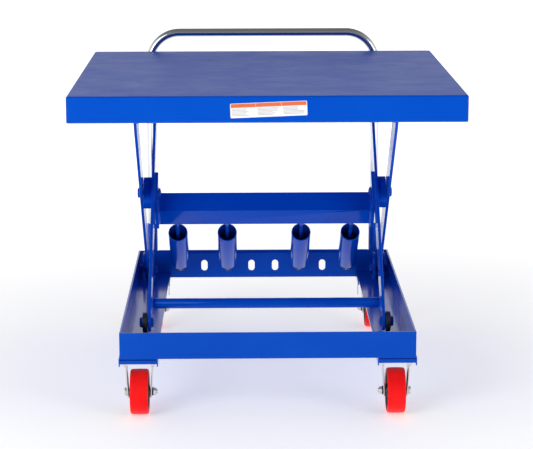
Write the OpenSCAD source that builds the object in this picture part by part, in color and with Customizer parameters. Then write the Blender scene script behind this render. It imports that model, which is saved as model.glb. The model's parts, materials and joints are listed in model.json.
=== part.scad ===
// Spring-loaded self-levelling scissor table on casters.
// Frame: origin on the floor under the middle of the table, +X right, +Y to the
// handle end, +Z up, millimetres. The table stands fully raised.

/* [Platform] */
// Width of the platform across the scissor arms
platform_w = 1016; // [900:4:1100]
// Length of the platform from front to back
platform_l = 1008; // [960:4:1012]
// Height of the platform's top face above the floor when fully raised
platform_h = 853; // [850:1:870]
// Depth of the turned-down skirt
skirt_h = 68; // [50:1:90]
// Thickness of the platform sheet
platform_t = 4; // [3:0.5:6]
// Radius of the skirt's vertical corners
corner_r = 8; // [5:1:14]

/* [Base] */
// Width of the base frame over the side rails
base_w = 770; // [740:2:790]
// Length of the base frame over the front and rear panels
base_l = 994; // [960:2:1010]
// Height of the underside of the side rails above the floor
rail_z = 165; // [163:1:168]
// Height of the side rails and the front panel
rail_h = 70; // [60:1:80]
// Width of the side rails' bottom flange, the track of the bottom rollers
flange_w = 97; // [90:1:105]
// Thickness of the base plates
base_t = 5; // [4:0.5:6]
// How far the platform overhangs the front of the base
front_overhang = 16; // [0:1:30]
// How far the rear panel reaches below the side rails
panel_drop = 15; // [8:1:15]

/* [Slots] */
// Spacing of the slots in the rear panel
slot_pitch = 72.9; // [68:0.1:76]
// Width of a slot
slot_w = 19.5; // [14:0.5:22]
// Height of a slot
slot_h = 33.7; // [26:0.1:36]
// Number of slots
slot_count = 8; // [6:2:8]

/* [Scissor] */
// Distance between the pivots at the two ends of an arm
arm_l = 877; // [870:1:884]
// Angle of the raised arms to the floor
arm_angle = 42.75; // [42.5:0.25:43.25]
// Width of an arm's flat bar
arm_w = 70; // [56:1:76]
// Thickness of an arm's flat bar
arm_t = 8; // [6:1:8]
// Distance from the middle plane to the middle of an outer arm
outer_x = 350; // [350:1:352]
// Distance from the middle plane to the middle of an inner arm
inner_x = 318; // [316:1:318]
// Distance of the rear pivots from the front of the base
rear_pivot_y = 900; // [895:1:905]
// Diameter of the pivot pins
pin_d = 16; // [14:1:18]
// Diameter of the nylon rollers
roller_d = 54; // [50:1:54]
// Width of the nylon rollers
roller_w = 12; // [10:1:12]
// Diameter of the round tube between the lower ends of the inner arms
tie_d = 28; // [24:1:32]

/* [Spring pack] */
// Leg of the angle section that the draw rods pull on
beam_leg = 65; // [55:0.5:70]
// Thickness of the angle section
beam_t = 5; // [4:0.5:6]
// Diameter of a spring tube
tube_d = 57; // [50:1:60]
// Wall of a spring tube
tube_t = 3; // [2:0.5:3]
// Length of a spring tube
tube_l = 213; // [190:1:225]
// Distance from a tube's hinge pin to its closed end
tube_gap = 48; // [46:1:54]
// Diameter of the draw rods
rod_d = 11; // [9:1:12]
// Wire diameter of the coil springs
wire_d = 7; // [5:0.5:7]

/* [Handle] */
// Height of the handle's top above the floor
handle_h = 920; // [900:1:940]
// Distance between the centre lines of the handle's legs
handle_w = 684; // [670:2:696]
// Diameter of the handle tube
handle_d = 25.4; // [22:0.2:26]
// Bend radius of the handle tube's centre line
handle_r = 90; // [60:1:110]
// Diameter of the sockets that hold the handle
socket_d = 31; // [30:0.5:34]
// Height of the sockets' top rim above the floor
socket_top = 318; // [300:1:340]

/* [Casters] */
// Diameter of the wheels
wheel_d = 120; // [114:1:127]
// Width of the wheels' tread
wheel_w = 48; // [40:1:50]
// Distance from the middle plane to the middle of a wheel
wheel_x = 337; // [334:1:338]
// Distance of the front axle from the front of the base
front_axle_y = 62; // [58:1:70]
// Distance of the rear swivels from the front of the base
rear_swivel_y = 925; // [915:1:930]
// Offset of the rear axle from its swivel
trail = 32; // [25:1:36]

/* [Hidden] */
$fn = 48;

// Colours
blue = [0.01, 0.22, 0.72];
zinc = [0.72, 0.72, 0.70];
chrome = [0.82, 0.83, 0.85];
nylon = [0.04, 0.04, 0.05];
red = [0.86, 0.06, 0.07];
iron = [0.12, 0.12, 0.13];

// The base's front face, placed so that the whole table is centred on the origin
decal_t = 0.8;
overall_l = decal_t + front_overhang + base_l + socket_d;
front_y = decal_t + front_overhang - overall_l / 2;
rear_y = front_y + base_l;
rail_top = rail_z + rail_h;
flange_z = rail_z + base_t;
panel_z = rail_z - panel_drop;

// Scissor pivots
run_gap = 0.3;
pivot_z = flange_z + roller_d / 2 + run_gap;
pivot_y = front_y + rear_pivot_y;
reach = arm_l * cos(arm_angle);
rise = arm_l * sin(arm_angle);
roller_y = pivot_y - reach;
top_pivot_z = pivot_z + rise;
centre_y = pivot_y - reach / 2;
centre_z = pivot_z + rise / 2;
bore = 0.05;
gap = 0.6;
inner_face = inner_x - arm_t / 2;
outer_face = outer_x + arm_t / 2;
arm_gap = outer_x - inner_x - arm_t;

// The bottom rollers run just outboard of the inner arms, the top ones just inboard
// of the outer arms
roller_x = inner_x + arm_t / 2 + 2.5 + roller_w / 2;
top_roller_x = outer_x - arm_t / 2 - 2.5 - roller_w / 2;
bolt_head_t = 8;
bolt_head_d = 24;

// Lever: s runs up along the inner arm from its centre pivot, d runs square to
// it, down and to the rear
lever_t = 10;
beam_s = -41;
beam_d = 33;
rod_s = -9;
rod_drop = 52;
lug_w = 6;
rod_pin_d = 10;
rod_y = centre_y + rod_s * cos(arm_angle) + rod_drop * sin(arm_angle);
rod_z = centre_z + rod_s * sin(arm_angle) - rod_drop * cos(arm_angle);

// Spring tubes: hinge pin in front of the rear panel, axis through the rod pin
slot_z = rail_z + 23;
hook_y = rear_y - 24;
hook_pin_d = 10;
spring_tilt = atan2(hook_y - rod_y, rod_z - slot_z);
spring_reach = norm([hook_y - rod_y, rod_z - slot_z]);
spring_x = [-3.5 * slot_pitch, -1.5 * slot_pitch, 1.5 * slot_pitch, 3.5 * slot_pitch];
coil_r = tube_d / 2 - tube_t - wire_d / 2 - 1;
coil_l = 140;
rod_depth = 153;
strap_t = 8;

// Platform
platform_y = front_y - front_overhang;
deck_under = platform_h - platform_t;
track_z = top_pivot_z + roller_d / 2 + run_gap;

// Handle
handle_y = rear_y + socket_d / 2;
handle_x = handle_w / 2;
lip_r = 10;
handle_bolt_z = rail_z + 40;
lip_w = handle_w - socket_d - 6;

// Casters
axle_z = wheel_d / 2;
pad_w = 102;
pad_l = 116;
pad_t = 5;
spacer_t = 10;
plate_z = rail_z - pad_t;
front_plate_z = plate_z - spacer_t;
plate_w = 94;
plate_l = 90;
plate_t = 4;
plate_bolt_x = 36;
plate_bolt_y = 34;
fork_w = 74;
fork_t = 3.5;
fork_foot = 64;
front_axle = front_y + front_axle_y;
swivel_y = front_y + rear_swivel_y;
rear_axle = swivel_y + trail;
tread_t = 7;
core_w = wheel_w - 2;
hub_w = 53;
axle_d = 12;
swivel_top = plate_z - plate_t - 7;
crown_t = 4;
sides = [-1, 1];

// ---- helpers -----------------------------------------------------------------

// Cylinder along X, centred at x
module x_rod(x, y, z, d, len) {
    translate([x, y, z]) rotate([0, 90, 0]) cylinder(d = d, h = len, center = true);
}

// Hexagonal prism along X; s is the width over its flats
module x_hex(x, y, z, s, len) {
    translate([x, y, z]) rotate([0, 90, 0]) cylinder(d = s / cos(30), h = len, center = true, $fn = 6);
}

// Slab with round vertical corners
module round_slab(w, l, h, r) {
    translate([-w / 2 + r, -l / 2, 0]) cube([w - 2 * r, l, h]);
    translate([-w / 2, -l / 2 + r, 0]) cube([w, l - 2 * r, h]);
    for (i = sides, j = sides)
        translate([i * (w / 2 - r), j * (l / 2 - r), 0]) cylinder(r = r, h = h);
}

// Lever frame: x stays, local Y is s (up along the inner arm), local -Z is d
module on_lever(x = 0) {
    translate([x, centre_y, centre_z]) rotate([arm_angle, 0, 0]) children();
}

// Spring frame: local +Z runs from the hinge pin to the rod pin
module on_spring(x) {
    translate([x, hook_y, slot_z]) rotate([spring_tilt, 0, 0]) children();
}

// Flat bar that narrows to round ends at its two outer pivots, in the YZ plane; lean
// is its angle to the floor seen from +X
module arm(x, y, z, lean) {
    end_r = 25;
    taper = 70;
    half = arm_w / 2;
    translate([x, y, z]) rotate([lean, 0, 0]) difference() {
        union() {
            rotate([90, 0, 90]) linear_extrude(height = arm_t, center = true) polygon([
                [0, -end_r], [taper, -half], [arm_l - taper, -half], [arm_l, -end_r],
                [arm_l, end_r], [arm_l - taper, half], [taper, half], [0, end_r]
            ]);
            for (k = [0, arm_l]) x_rod(0, k, 0, 2 * end_r, arm_t);
        }
        for (k = [0, arm_l / 2, arm_l]) x_rod(0, k, 0, pin_d + 2 * bore, arm_t + 1);
    }
}

// Bolt with a hex head on side +1 and a nut on side -1 of its shank
module x_bolt(x, y, z, d, len, side, head = bolt_head_d, nut = true) {
    x_rod(x, y, z, d, len);
    x_hex(x + side * (len / 2 + bolt_head_t / 2), y, z, head, bolt_head_t);
    if (nut)
        x_hex(x - side * (len / 2 + bolt_head_t / 2), y, z, head, bolt_head_t);
}

// ---- base --------------------------------------------------------------------

// Side rail: an angle with the wide flange inward
module side_rail(side) {
    len = base_l - 2 * base_t;
    wall_x = side > 0 ? base_w / 2 - base_t : -base_w / 2;
    flange_x = side > 0 ? base_w / 2 - flange_w : -base_w / 2;
    color(blue) translate([0, front_y + base_t, rail_z]) {
        translate([wall_x, 0, 0]) cube([base_t, len, rail_h]);
        translate([flange_x, 0, 0]) cube([flange_w, len, base_t]);
    }
}
module side_rail_left() { side_rail(-1); }
module side_rail_right() { side_rail(1); }

module front_panel() {
    color(blue) translate([-base_w / 2, front_y, rail_z]) cube([base_w, base_t, rail_h]);
}

// Upright slot with round ends, cut along Y
module slot_cut(x) {
    for (k = sides)
        translate([x, rear_y + 1, slot_z + k * (slot_h - slot_w) / 2]) rotate([90, 0, 0])
            cylinder(d = slot_w, h = base_t + 2);
    translate([x - slot_w / 2, rear_y - base_t - 1, slot_z - (slot_h - slot_w) / 2])
        cube([slot_w, base_t + 2, slot_h - slot_w]);
}

// Rear panel with its row of slots and a lip rolled to the rear between the sockets
module rear_panel() {
    lip_top = rail_top - lip_r;
    color(blue) {
        difference() {
            translate([-base_w / 2, rear_y - base_t, panel_z])
                cube([base_w, base_t, lip_top - panel_z]);
            for (i = [0 : slot_count - 1]) slot_cut((i - (slot_count - 1) / 2) * slot_pitch);
        }
        for (k = sides)
            translate([k > 0 ? lip_w / 2 : -base_w / 2, rear_y - base_t, lip_top])
                cube([(base_w - lip_w) / 2, base_t, lip_r]);
        intersection() {
            translate([0, rear_y - base_t + lip_r, lip_top]) rotate([0, 90, 0]) difference() {
                cylinder(r = lip_r, h = lip_w, center = true);
                cylinder(r = lip_r - base_t, h = lip_w + 1, center = true);
            }
            translate([-lip_w / 2, rear_y - base_t, lip_top]) cube([lip_w, lip_r, lip_r]);
        }
    }
}

// Clevis plates of the rear bottom pivots, one pair a side, on the flange
module pivot_clevises() {
    ear_t = 6;
    ear_l = 62;
    ear_h = 78;
    color(blue) for (side = sides, k = sides)
        translate([side * outer_x + k * (arm_t / 2 + 7 + ear_t / 2), 0, 0]) difference() {
            union() {
                translate([-ear_t / 2, pivot_y - ear_l / 2, flange_z])
                    cube([ear_t, ear_l, ear_h - ear_l / 2]);
                x_rod(0, pivot_y, flange_z + ear_h - ear_l / 2, ear_l, ear_t);
            }
            x_rod(0, pivot_y, pivot_z, pin_d + 2 * bore, ear_t + 1);
        }
}

module base_pivot_pins() {
    color(blue) for (side = sides)
        x_bolt(side * outer_x, pivot_y, pivot_z, pin_d, arm_t + 28, -side, 22);
}

// Upright holes for the four bolts of a caster plate, centred on its middle
module plate_holes(depth) {
    for (i = sides, j = sides)
        translate([i * plate_bolt_x, j * plate_bolt_y, 0]) cylinder(d = 9, h = depth, center = true);
}

// Inverted channels between the side rails and the casters; the front pair carries
// thick spacer plates, their webs set back behind the spacers' front edges
module caster_pads() {
    tab_t = 3;
    front_tab = 22;
    rear_tab = 13;
    setback = 5;
    color(blue) for (side = sides, front = [true, false]) {
        tab_h = front ? front_tab : rear_tab;
        translate([side * wheel_x, front ? front_axle : swivel_y, rail_z]) difference() {
            union() {
                translate([-pad_w / 2, setback - pad_l / 2, -pad_t])
                    cube([pad_w, pad_l - 2 * setback, pad_t]);
                for (k = sides)
                    translate([k * (pad_w - tab_t) / 2 - tab_t / 2, -pad_l / 2, -tab_h])
                        cube([tab_t, pad_l, tab_h]);
                if (front)
                    translate([-pad_w / 2, -pad_l / 2, -pad_t - spacer_t])
                        cube([pad_w, pad_l, spacer_t]);
            }
            plate_holes(4 * tab_h);
        }
    }
}

module handle_sockets() {
    color(blue) for (side = sides) translate([side * handle_x, handle_y, 0]) difference() {
        translate([0, 0, rail_z]) cylinder(d = socket_d, h = socket_top - rail_z);
        translate([0, 0, rail_z + base_t]) cylinder(d = handle_d + 0.6, h = socket_top);
        translate([0, 0, handle_bolt_z]) rotate([0, 90, 0]) cylinder(d = 8.2, h = 40, center = true);
    }
}

// U-shaped push handle, one bent tube
module handle() {
    leg_z = rail_z + base_t;
    bend_z = handle_h - handle_d / 2 - handle_r;
    color(chrome) difference() {
        union() {
            for (side = sides) {
                translate([side * handle_x, handle_y, leg_z]) cylinder(d = handle_d, h = bend_z - leg_z);
                translate([side * (handle_x - handle_r), handle_y, bend_z]) rotate([90, 0, 0])
                    rotate([0, 0, side > 0 ? 0 : 90])
                        rotate_extrude(angle = 90) translate([handle_r, 0]) circle(d = handle_d);
            }
            x_rod(0, handle_y, bend_z + handle_r, handle_d, handle_w - 2 * handle_r);
        }
        for (side = sides) translate([side * handle_x, handle_y, handle_bolt_z])
            rotate([0, 90, 0]) cylinder(d = 8.2, h = 40, center = true);
    }
}

module handle_bolts() {
    color(zinc) for (side = sides)
        x_bolt(side * handle_x, handle_y, handle_bolt_z, 8, socket_d + 1, side, 13);
}

// Eye bolt through a slot, with the fork that a spring tube hinges on
module slot_hook(x) {
    eye_l = 24;
    ear_t = 5;
    washer_d = 30;
    translate([x, 0, slot_z]) {
        for (k = sides) difference() {
            translate([k * (strap_t / 2 + 0.5 + ear_t / 2) - ear_t / 2, hook_y - eye_l / 2, -eye_l / 2])
                cube([ear_t, eye_l, eye_l]);
            x_rod(0, hook_y, 0, hook_pin_d, 40);
        }
        translate([-9.5, hook_y + eye_l / 2, -eye_l / 2]) cube([19, 4, eye_l]);
        translate([0, hook_y + eye_l / 2 + 4, 0]) rotate([-90, 0, 0]) {
            cylinder(d = washer_d, h = rear_y - base_t - hook_y - eye_l / 2 - 4);
            cylinder(d = 12, h = 36);
        }
    }
    translate([x, rear_y + 4, slot_z]) rotate([90, 0, 0]) difference() {
        cylinder(d = washer_d, h = 4);
        translate([0, 0, -1]) cylinder(d = 12, h = 6);
    }
    translate([x, rear_y + 14, slot_z]) rotate([90, 0, 0]) difference() {
        cylinder(d = 19 / cos(30), h = 10, $fn = 6);
        translate([0, 0, -1]) cylinder(d = 12, h = 12);
    }
    x_rod(x, hook_y, slot_z, hook_pin_d, strap_t + 16);
}
module slot_hooks() {
    color(iron) for (x = spring_x) slot_hook(x);
}

// ---- casters -----------------------------------------------------------------

// Bent sheet fork: a top plate and two legs that lean in towards the wheel
module fork_legs(top_z, y_axle, top_l) {
    lean = atan2((fork_w - fork_foot) / 2, top_z - axle_z);
    drop = (top_z - axle_z) / cos(lean);
    foot_d = 34;
    for (k = sides) translate([k * fork_w / 2, 0, top_z]) rotate([0, k * lean, 0])
        translate([-k * fork_t / 2, 0, 0]) difference() {
            union() {
                rotate([0, 90, 0]) linear_extrude(height = fork_t, center = true) polygon([
                    [0, -top_l / 2], [0, top_l / 2],
                    [drop - 2, y_axle + foot_d / 2], [drop - 2, y_axle - foot_d / 2]
                ]);
                x_rod(0, y_axle, -drop, foot_d, fork_t);
            }
            x_rod(0, y_axle, -drop, axle_d + 1.5, fork_t + 2);
        }
}

// Caster plate with its four holes, its top face at top_z
module caster_plate(top_z) {
    translate([0, 0, top_z - plate_t / 2]) difference() {
        cube([plate_w, plate_l, plate_t], center = true);
        plate_holes(2 * plate_t);
    }
}

module front_forks() {
    color(zinc) for (side = sides) translate([side * wheel_x, front_axle, 0]) {
        caster_plate(front_plate_z);
        fork_legs(front_plate_z - plate_t, 0, 50);
    }
}

// Wheel axle: bolt with its head outboard, a nut and a stub of thread inboard,
// and a spacer each side of the wheel
module axle_bolt(x, y, side) {
    half = fork_foot / 2 + 1.5;
    nut_t = 11;
    shim_t = 0.5;
    x_rod(x - side * (nut_t + 3) / 2, y, axle_z, axle_d, 2 * half + nut_t + 3);
    x_hex(x + side * (half + 3), y, axle_z, 19, 6);
    x_hex(x - side * (half + nut_t / 2), y, axle_z, 19, nut_t);
    for (k = sides)
        x_rod(x + k * (hub_w / 2 + gap + shim_t / 2), y, axle_z, 24, shim_t);
}
module front_axles() {
    color(zinc) for (side = sides) axle_bolt(side * wheel_x, front_axle, side);
}

// Four bolts down through each pad and caster plate
module caster_bolts() {
    head_t = 6;
    color(zinc) for (side = sides, front = [true, false], i = sides, j = sides) {
        under = (front ? front_plate_z : plate_z) - plate_t;
        translate([side * wheel_x + i * plate_bolt_x,
            (front ? front_axle : swivel_y) + j * plate_bolt_y, under]) {
            cylinder(d = 8, h = rail_z - under);
            translate([0, 0, -head_t]) cylinder(d = 13 / cos(30), h = head_t, $fn = 6);
        }
    }
}

// Fixed half of a swivel: plate and the upper race with its kingpin
module swivel_plates() {
    color(zinc) for (side = sides) translate([side * wheel_x, swivel_y, 0]) {
        caster_plate(plate_z);
        translate([0, 0, swivel_top + 1]) cylinder(d = 60, h = plate_z - plate_t - swivel_top - 1);
        translate([0, 0, swivel_top - 13]) cylinder(d = 14, h = 14);
    }
}

// Turning half of a swivel: race, fork crown and legs raked to the rear axle
module swivel_fork(side) {
    color(zinc) translate([side * wheel_x, swivel_y, 0]) {
        difference() {
            union() {
                translate([0, 0, swivel_top - crown_t]) cylinder(d = fork_w, h = crown_t);
                translate([0, 0, swivel_top - crown_t]) cylinder(d = 52, h = crown_t + 0.5);
            }
            translate([0, 0, swivel_top - crown_t - 1]) cylinder(d = 14 + 2 * bore, h = crown_t + 3);
        }
        fork_legs(swivel_top - crown_t, trail, 56);
        x_rod(0, brake_y - swivel_y, brake_z, brake_pin_d, fork_w + 20);
        translate([-side * (fork_w / 2 + 9), brake_y - swivel_y, brake_z]) rotate([12, 0, 0])
            translate([-1.5, -5, -34]) cube([3, 10, 40]);
    }
}
module swivel_fork_left() { swivel_fork(-1); }
module swivel_fork_right() { swivel_fork(1); }
module rear_axle_left() { color(zinc) axle_bolt(-wheel_x, rear_axle, -1); }
module rear_axle_right() { color(zinc) axle_bolt(wheel_x, rear_axle, 1); }

// Cast wheel centre: hub, web and rim
module wheel_core(x, y) {
    color(iron) translate([x, y, axle_z]) rotate([0, 90, 0]) rotate_extrude()
        polygon([
            [axle_d / 2 + bore, -hub_w / 2], [18, -hub_w / 2], [20, 2 - hub_w / 2], [21, -14],
            [wheel_d / 2 - tread_t - 10, -12], [wheel_d / 2 - tread_t - 7, -core_w / 2],
            [wheel_d / 2 - tread_t, -core_w / 2], [wheel_d / 2 - tread_t, core_w / 2],
            [wheel_d / 2 - tread_t - 7, core_w / 2], [wheel_d / 2 - tread_t - 10, 12],
            [21, 14], [20, hub_w / 2 - 2], [18, hub_w / 2], [axle_d / 2 + bore, hub_w / 2]
        ]);
}

// Polyurethane tread bonded on the core, with rounded shoulders
module tread(x, y) {
    shoulder = 5;
    r = wheel_d / 2;
    side = wheel_w / 2 - shoulder;
    color(red) translate([x, y, axle_z]) rotate([0, 90, 0]) rotate_extrude($fn = 96)
        polygon(concat(
            [[r - tread_t, -wheel_w / 2]],
            [for (a = [-90 : 15 : 0]) [r - shoulder + shoulder * cos(a), -side + shoulder * sin(a)]],
            [for (a = [0 : 15 : 90]) [r - shoulder + shoulder * cos(a), side + shoulder * sin(a)]],
            [[r - tread_t, wheel_w / 2]]
        ));
}
module wheel_core_fl() { wheel_core(-wheel_x, front_axle); }
module wheel_core_fr() { wheel_core(wheel_x, front_axle); }
module wheel_core_rl() { wheel_core(-wheel_x, rear_axle); }
module wheel_core_rr() { wheel_core(wheel_x, rear_axle); }
module tread_fl() { tread(-wheel_x, front_axle); }
module tread_fr() { tread(wheel_x, front_axle); }
module tread_rl() { tread(-wheel_x, rear_axle); }
module tread_rr() { tread(wheel_x, rear_axle); }

// Brake pedal: a barrel on the fork's cross pin, a plate over the wheel and a
// crank beside the inner leg
brake_y = swivel_y + 21;
brake_z = swivel_top - crown_t - 8;
brake_pin_d = 6;
module brake_pedal(side) {
    pedal_w = 44;
    pedal_l = 66;
    droop = 11;
    color(zinc) translate([side * wheel_x, brake_y, brake_z]) difference() {
        union() {
            x_rod(0, 0, 0, 12, pedal_w);
            rotate([-droop, 0, 0]) translate([-pedal_w / 2, 0, 1]) cube([pedal_w, pedal_l, 3]);
            rotate([-droop, 0, 0]) translate([-pedal_w / 2, pedal_l - 4, 1]) cube([pedal_w, 4, 8]);
        }
        x_rod(0, 0, 0, brake_pin_d + 2 * bore, pedal_w + 1);
    }
}
module brake_pedal_left() { brake_pedal(-1); }
module brake_pedal_right() { brake_pedal(1); }

// ---- outer arms --------------------------------------------------------------

module outer_arm_left() { color(blue) arm(-outer_x, pivot_y, pivot_z, 180 - arm_angle); }
module outer_arm_right() { color(blue) arm(outer_x, pivot_y, pivot_z, 180 - arm_angle); }

// Tube that ties the outer arms together just below the platform
tie_s = 56;
module outer_tie_bar() {
    color(blue) x_rod(0, roller_y + tie_s * cos(arm_angle), top_pivot_z - tie_s * sin(arm_angle),
        tie_d, 2 * outer_x - arm_t);
}

// Roller: a nylon wheel with a recessed web and a plain bore
module roller(x, y, z) {
    r = roller_d / 2;
    color(nylon) translate([x, y, z]) rotate([0, 90, 0]) rotate_extrude()
        polygon([
            [pin_d / 2 + bore, -roller_w / 2], [15, -roller_w / 2], [16, -roller_w / 2 + 2],
            [r - 6, -roller_w / 2 + 2], [r - 5, -roller_w / 2], [r - 1, -roller_w / 2],
            [r, -roller_w / 2 + 1], [r, roller_w / 2 - 1], [r - 1, roller_w / 2],
            [r - 5, roller_w / 2], [r - 6, roller_w / 2 - 2], [16, roller_w / 2 - 2],
            [15, roller_w / 2], [pin_d / 2 + bore, roller_w / 2]
        ]);
}
module top_roller_left() { roller(-top_roller_x, roller_y, top_pivot_z); }
module top_roller_right() { roller(top_roller_x, roller_y, top_pivot_z); }
module bottom_roller_left() { roller(-roller_x, roller_y, pivot_z); }
module bottom_roller_right() { roller(roller_x, roller_y, pivot_z); }

// Shoulder bolts of the rollers, through the arm and the roller
module roller_bolts(arm_x, wheel_cx, z) {
    toward = wheel_cx > arm_x ? 1 : -1;
    far = wheel_cx + toward * (roller_w / 2 + gap);
    near = arm_x - toward * (arm_t / 2 + gap);
    for (side = sides)
        x_bolt(side * (far + near) / 2, roller_y, z, pin_d, abs(far - near), side * toward, bolt_head_d);
}
module top_roller_bolts() { color(blue) roller_bolts(outer_x, top_roller_x, top_pivot_z); }
module bottom_roller_bolts() { color(blue) roller_bolts(inner_x, roller_x, pivot_z); }

// ---- inner arms --------------------------------------------------------------

module inner_arm_left() { color(blue) arm(-inner_x, roller_y, pivot_z, arm_angle); }
module inner_arm_right() { color(blue) arm(inner_x, roller_y, pivot_z, arm_angle); }

cross_s = 61;
module cross_tube() {
    color(blue) x_rod(0, roller_y + cross_s * cos(arm_angle), pivot_z + cross_s * sin(arm_angle),
        tie_d, 2 * inner_face);
}

// Lever plates on the inner faces of the inner arms, which carry the spring beam
module lever_plates() {
    plate_top = 25;
    plate_low = 112;
    color(blue) for (side = sides) on_lever(side * (inner_face - lever_t / 2)) difference() {
        rotate([0, 90, 0]) linear_extrude(height = lever_t, center = true) polygon([
            [-plate_top, -46], [-plate_top, 55], [beam_d - 2, 55],
            [plate_low - 25, 10], [plate_low, -20], [plate_low, -46]
        ]);
        x_rod(0, 0, 0, pin_d + 2 * bore, lever_t + 1);
    }
}

// Angle section between the lever plates, corner to the front, with the rod lugs
module spring_beam() {
    beam_len = 2 * (inner_face - lever_t);
    color(blue) on_lever() {
        translate([-beam_len / 2, beam_s, -beam_d - beam_t]) cube([beam_len, beam_leg, beam_t]);
        translate([-beam_len / 2, beam_s, -beam_d - beam_leg]) cube([beam_len, beam_t, beam_leg]);
        for (x = spring_x, k = sides)
            translate([x + k * (rod_d / 2 + 1 + lug_w / 2), rod_s, -beam_d - beam_t]) difference() {
                union() {
                    translate([-lug_w / 2, -12, -(rod_drop - beam_d - beam_t)])
                        cube([lug_w, 24, rod_drop - beam_d - beam_t]);
                    x_rod(0, 0, -(rod_drop - beam_d - beam_t), 24, lug_w);
                }
                x_rod(0, 0, -(rod_drop - beam_d - beam_t), rod_pin_d, lug_w + 1);
            }
    }
}

// Blocks that hold the inner and outer arms apart at the centre pivots
module pivot_spacers() {
    spacer_w = arm_gap - gap;
    run = 52;
    color(blue) for (side = sides) on_lever(side * (inner_x + arm_t / 2 + spacer_w / 2)) difference() {
        union() {
            translate([-spacer_w / 2, -run / 2, -24]) cube([spacer_w, run, 48]);
            for (k = sides) x_rod(0, k * run / 2, 0, 48, spacer_w);
        }
        x_rod(0, 0, 0, pin_d + 2 * bore, spacer_w + 1);
    }
}

module centre_bolts() {
    inboard = inner_face - lever_t - gap;
    outboard = outer_face + gap;
    color(blue) for (side = sides)
        x_bolt(side * (inboard + outboard) / 2, centre_y, centre_z, pin_d, outboard - inboard, side);
}

module rod_pins() {
    color(zinc) for (x = spring_x) {
        x_rod(x, rod_y, rod_z, rod_pin_d, rod_d + 2 * lug_w + 8);
    }
}

// ---- spring pack -------------------------------------------------------------

// Open tube with a closed lower end and the strap of its hinge
module spring_tube(x) {
    cap_t = 5;
    color(blue) on_spring(x) {
        difference() {
            translate([0, 0, tube_gap]) cylinder(d = tube_d, h = tube_l);
            translate([0, 0, tube_gap + cap_t]) cylinder(d = tube_d - 2 * tube_t, h = tube_l);
        }
        difference() {
            union() {
                translate([-strap_t / 2, -12, 0]) cube([strap_t, 24, tube_gap]);
                x_rod(0, 0, 0, 24, strap_t);
            }
            x_rod(0, 0, 0, hook_pin_d + 2 * bore, strap_t + 1);
        }
    }
}
module spring_tube_1() { spring_tube(spring_x[0]); }
module spring_tube_2() { spring_tube(spring_x[1]); }
module spring_tube_3() { spring_tube(spring_x[2]); }
module spring_tube_4() { spring_tube(spring_x[3]); }

// Rod with an eye at the beam; its lower end reaches into the coil spring
module draw_rods() {
    rod_end = tube_gap + tube_l - rod_depth;
    eye_d = 24;
    color(blue) for (x = spring_x) on_spring(x) {
        translate([0, 0, rod_end]) cylinder(d = rod_d, h = spring_reach - eye_d / 2 - rod_end + 2);
        difference() {
            x_rod(0, 0, spring_reach, eye_d, rod_d);
            x_rod(0, 0, spring_reach, rod_pin_d + 2 * bore, rod_d + 1);
        }
    }
}

// Close-wound coil as a revolved wave, one crest of wire a turn
module coil_springs() {
    turns = floor(coil_l / wire_d);
    crest = wire_d / 2;
    root = crest - 1.6;
    color(iron) for (x = spring_x) on_spring(x) translate([0, 0, tube_gap + 5 + 1])
        rotate_extrude() polygon(concat(
            [for (i = [0 : turns - 1]) each [
                [coil_r + root, i * wire_d],
                [coil_r + crest, (i + 0.35) * wire_d],
                [coil_r + crest, (i + 0.65) * wire_d]
            ]],
            [[coil_r + root, turns * wire_d], [coil_r - root, turns * wire_d]],
            [for (i = [turns - 1 : -1 : 0]) each [
                [coil_r - crest, (i + 0.65) * wire_d],
                [coil_r - crest, (i + 0.35) * wire_d],
                [coil_r - root, i * wire_d]
            ]]
        ));
}

// ---- platform ----------------------------------------------------------------

module deck() {
    in = platform_t;
    color(blue) translate([0, platform_y + platform_l / 2, 0]) difference() {
        translate([0, 0, platform_h - skirt_h])
            round_slab(platform_w, platform_l, skirt_h, corner_r);
        translate([0, 0, platform_h - skirt_h - 1])
            round_slab(platform_w - 2 * in, platform_l - 2 * in, skirt_h - in + 1, corner_r - in);
    }
}

// Hat rails under the deck that the top rollers run along
module roller_rails() {
    rail_w = 40;
    wall = 4;
    color(blue) for (side = sides)
        translate([side * top_roller_x, platform_y + platform_t, 0]) difference() {
            translate([-rail_w / 2, 0, track_z])
                cube([rail_w, platform_l - 2 * platform_t, deck_under - track_z]);
            translate([-rail_w / 2 + wall, -1, track_z + wall])
                cube([rail_w - 2 * wall, platform_l, deck_under - track_z]);
        }
}

// Three channels across the deck between the rails
module deck_stiffeners() {
    span = 2 * (top_roller_x - 20);
    h = 24;
    color(blue) for (y = [platform_y + 170, platform_y + platform_l / 2, platform_y + platform_l - 200])
        translate([-span / 2, y - 25, deck_under - h]) difference() {
            cube([span, 50, h]);
            translate([-1, 4, 4]) cube([span + 2, 42, h]);
        }
}

// Clevis plates of the rear top pivots, hung from the rails
module platform_clevises() {
    ear_t = 5;
    ear_l = 44;
    color(blue) for (side = sides, k = sides)
        translate([side * inner_x + k * (arm_t / 2 + 3 + ear_t / 2), 0, 0]) difference() {
            union() {
                translate([-ear_t / 2, pivot_y - ear_l / 2, top_pivot_z]) {
                    cube([ear_t, ear_l, (k * side > 0 ? track_z : deck_under) - top_pivot_z]);
                }
                x_rod(0, pivot_y, top_pivot_z, ear_l, ear_t);
            }
            x_rod(0, pivot_y, top_pivot_z, pin_d + 2 * bore, ear_t + 1);
        }
}

module platform_pivot_pins() {
    color(blue) for (side = sides)
        x_bolt(side * inner_x, pivot_y, top_pivot_z, pin_d, arm_t + 16, -side, 22);
}

// Thin plain decal in the middle of the front skirt
module decal_plate() {
    color([0.92, 0.92, 0.9]) translate([3, platform_y - decal_t / 2, platform_h - skirt_h / 2])
        cube([194, decal_t, 38], center = true);
}

// ---- nodes -------------------------------------------------------------------

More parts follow.
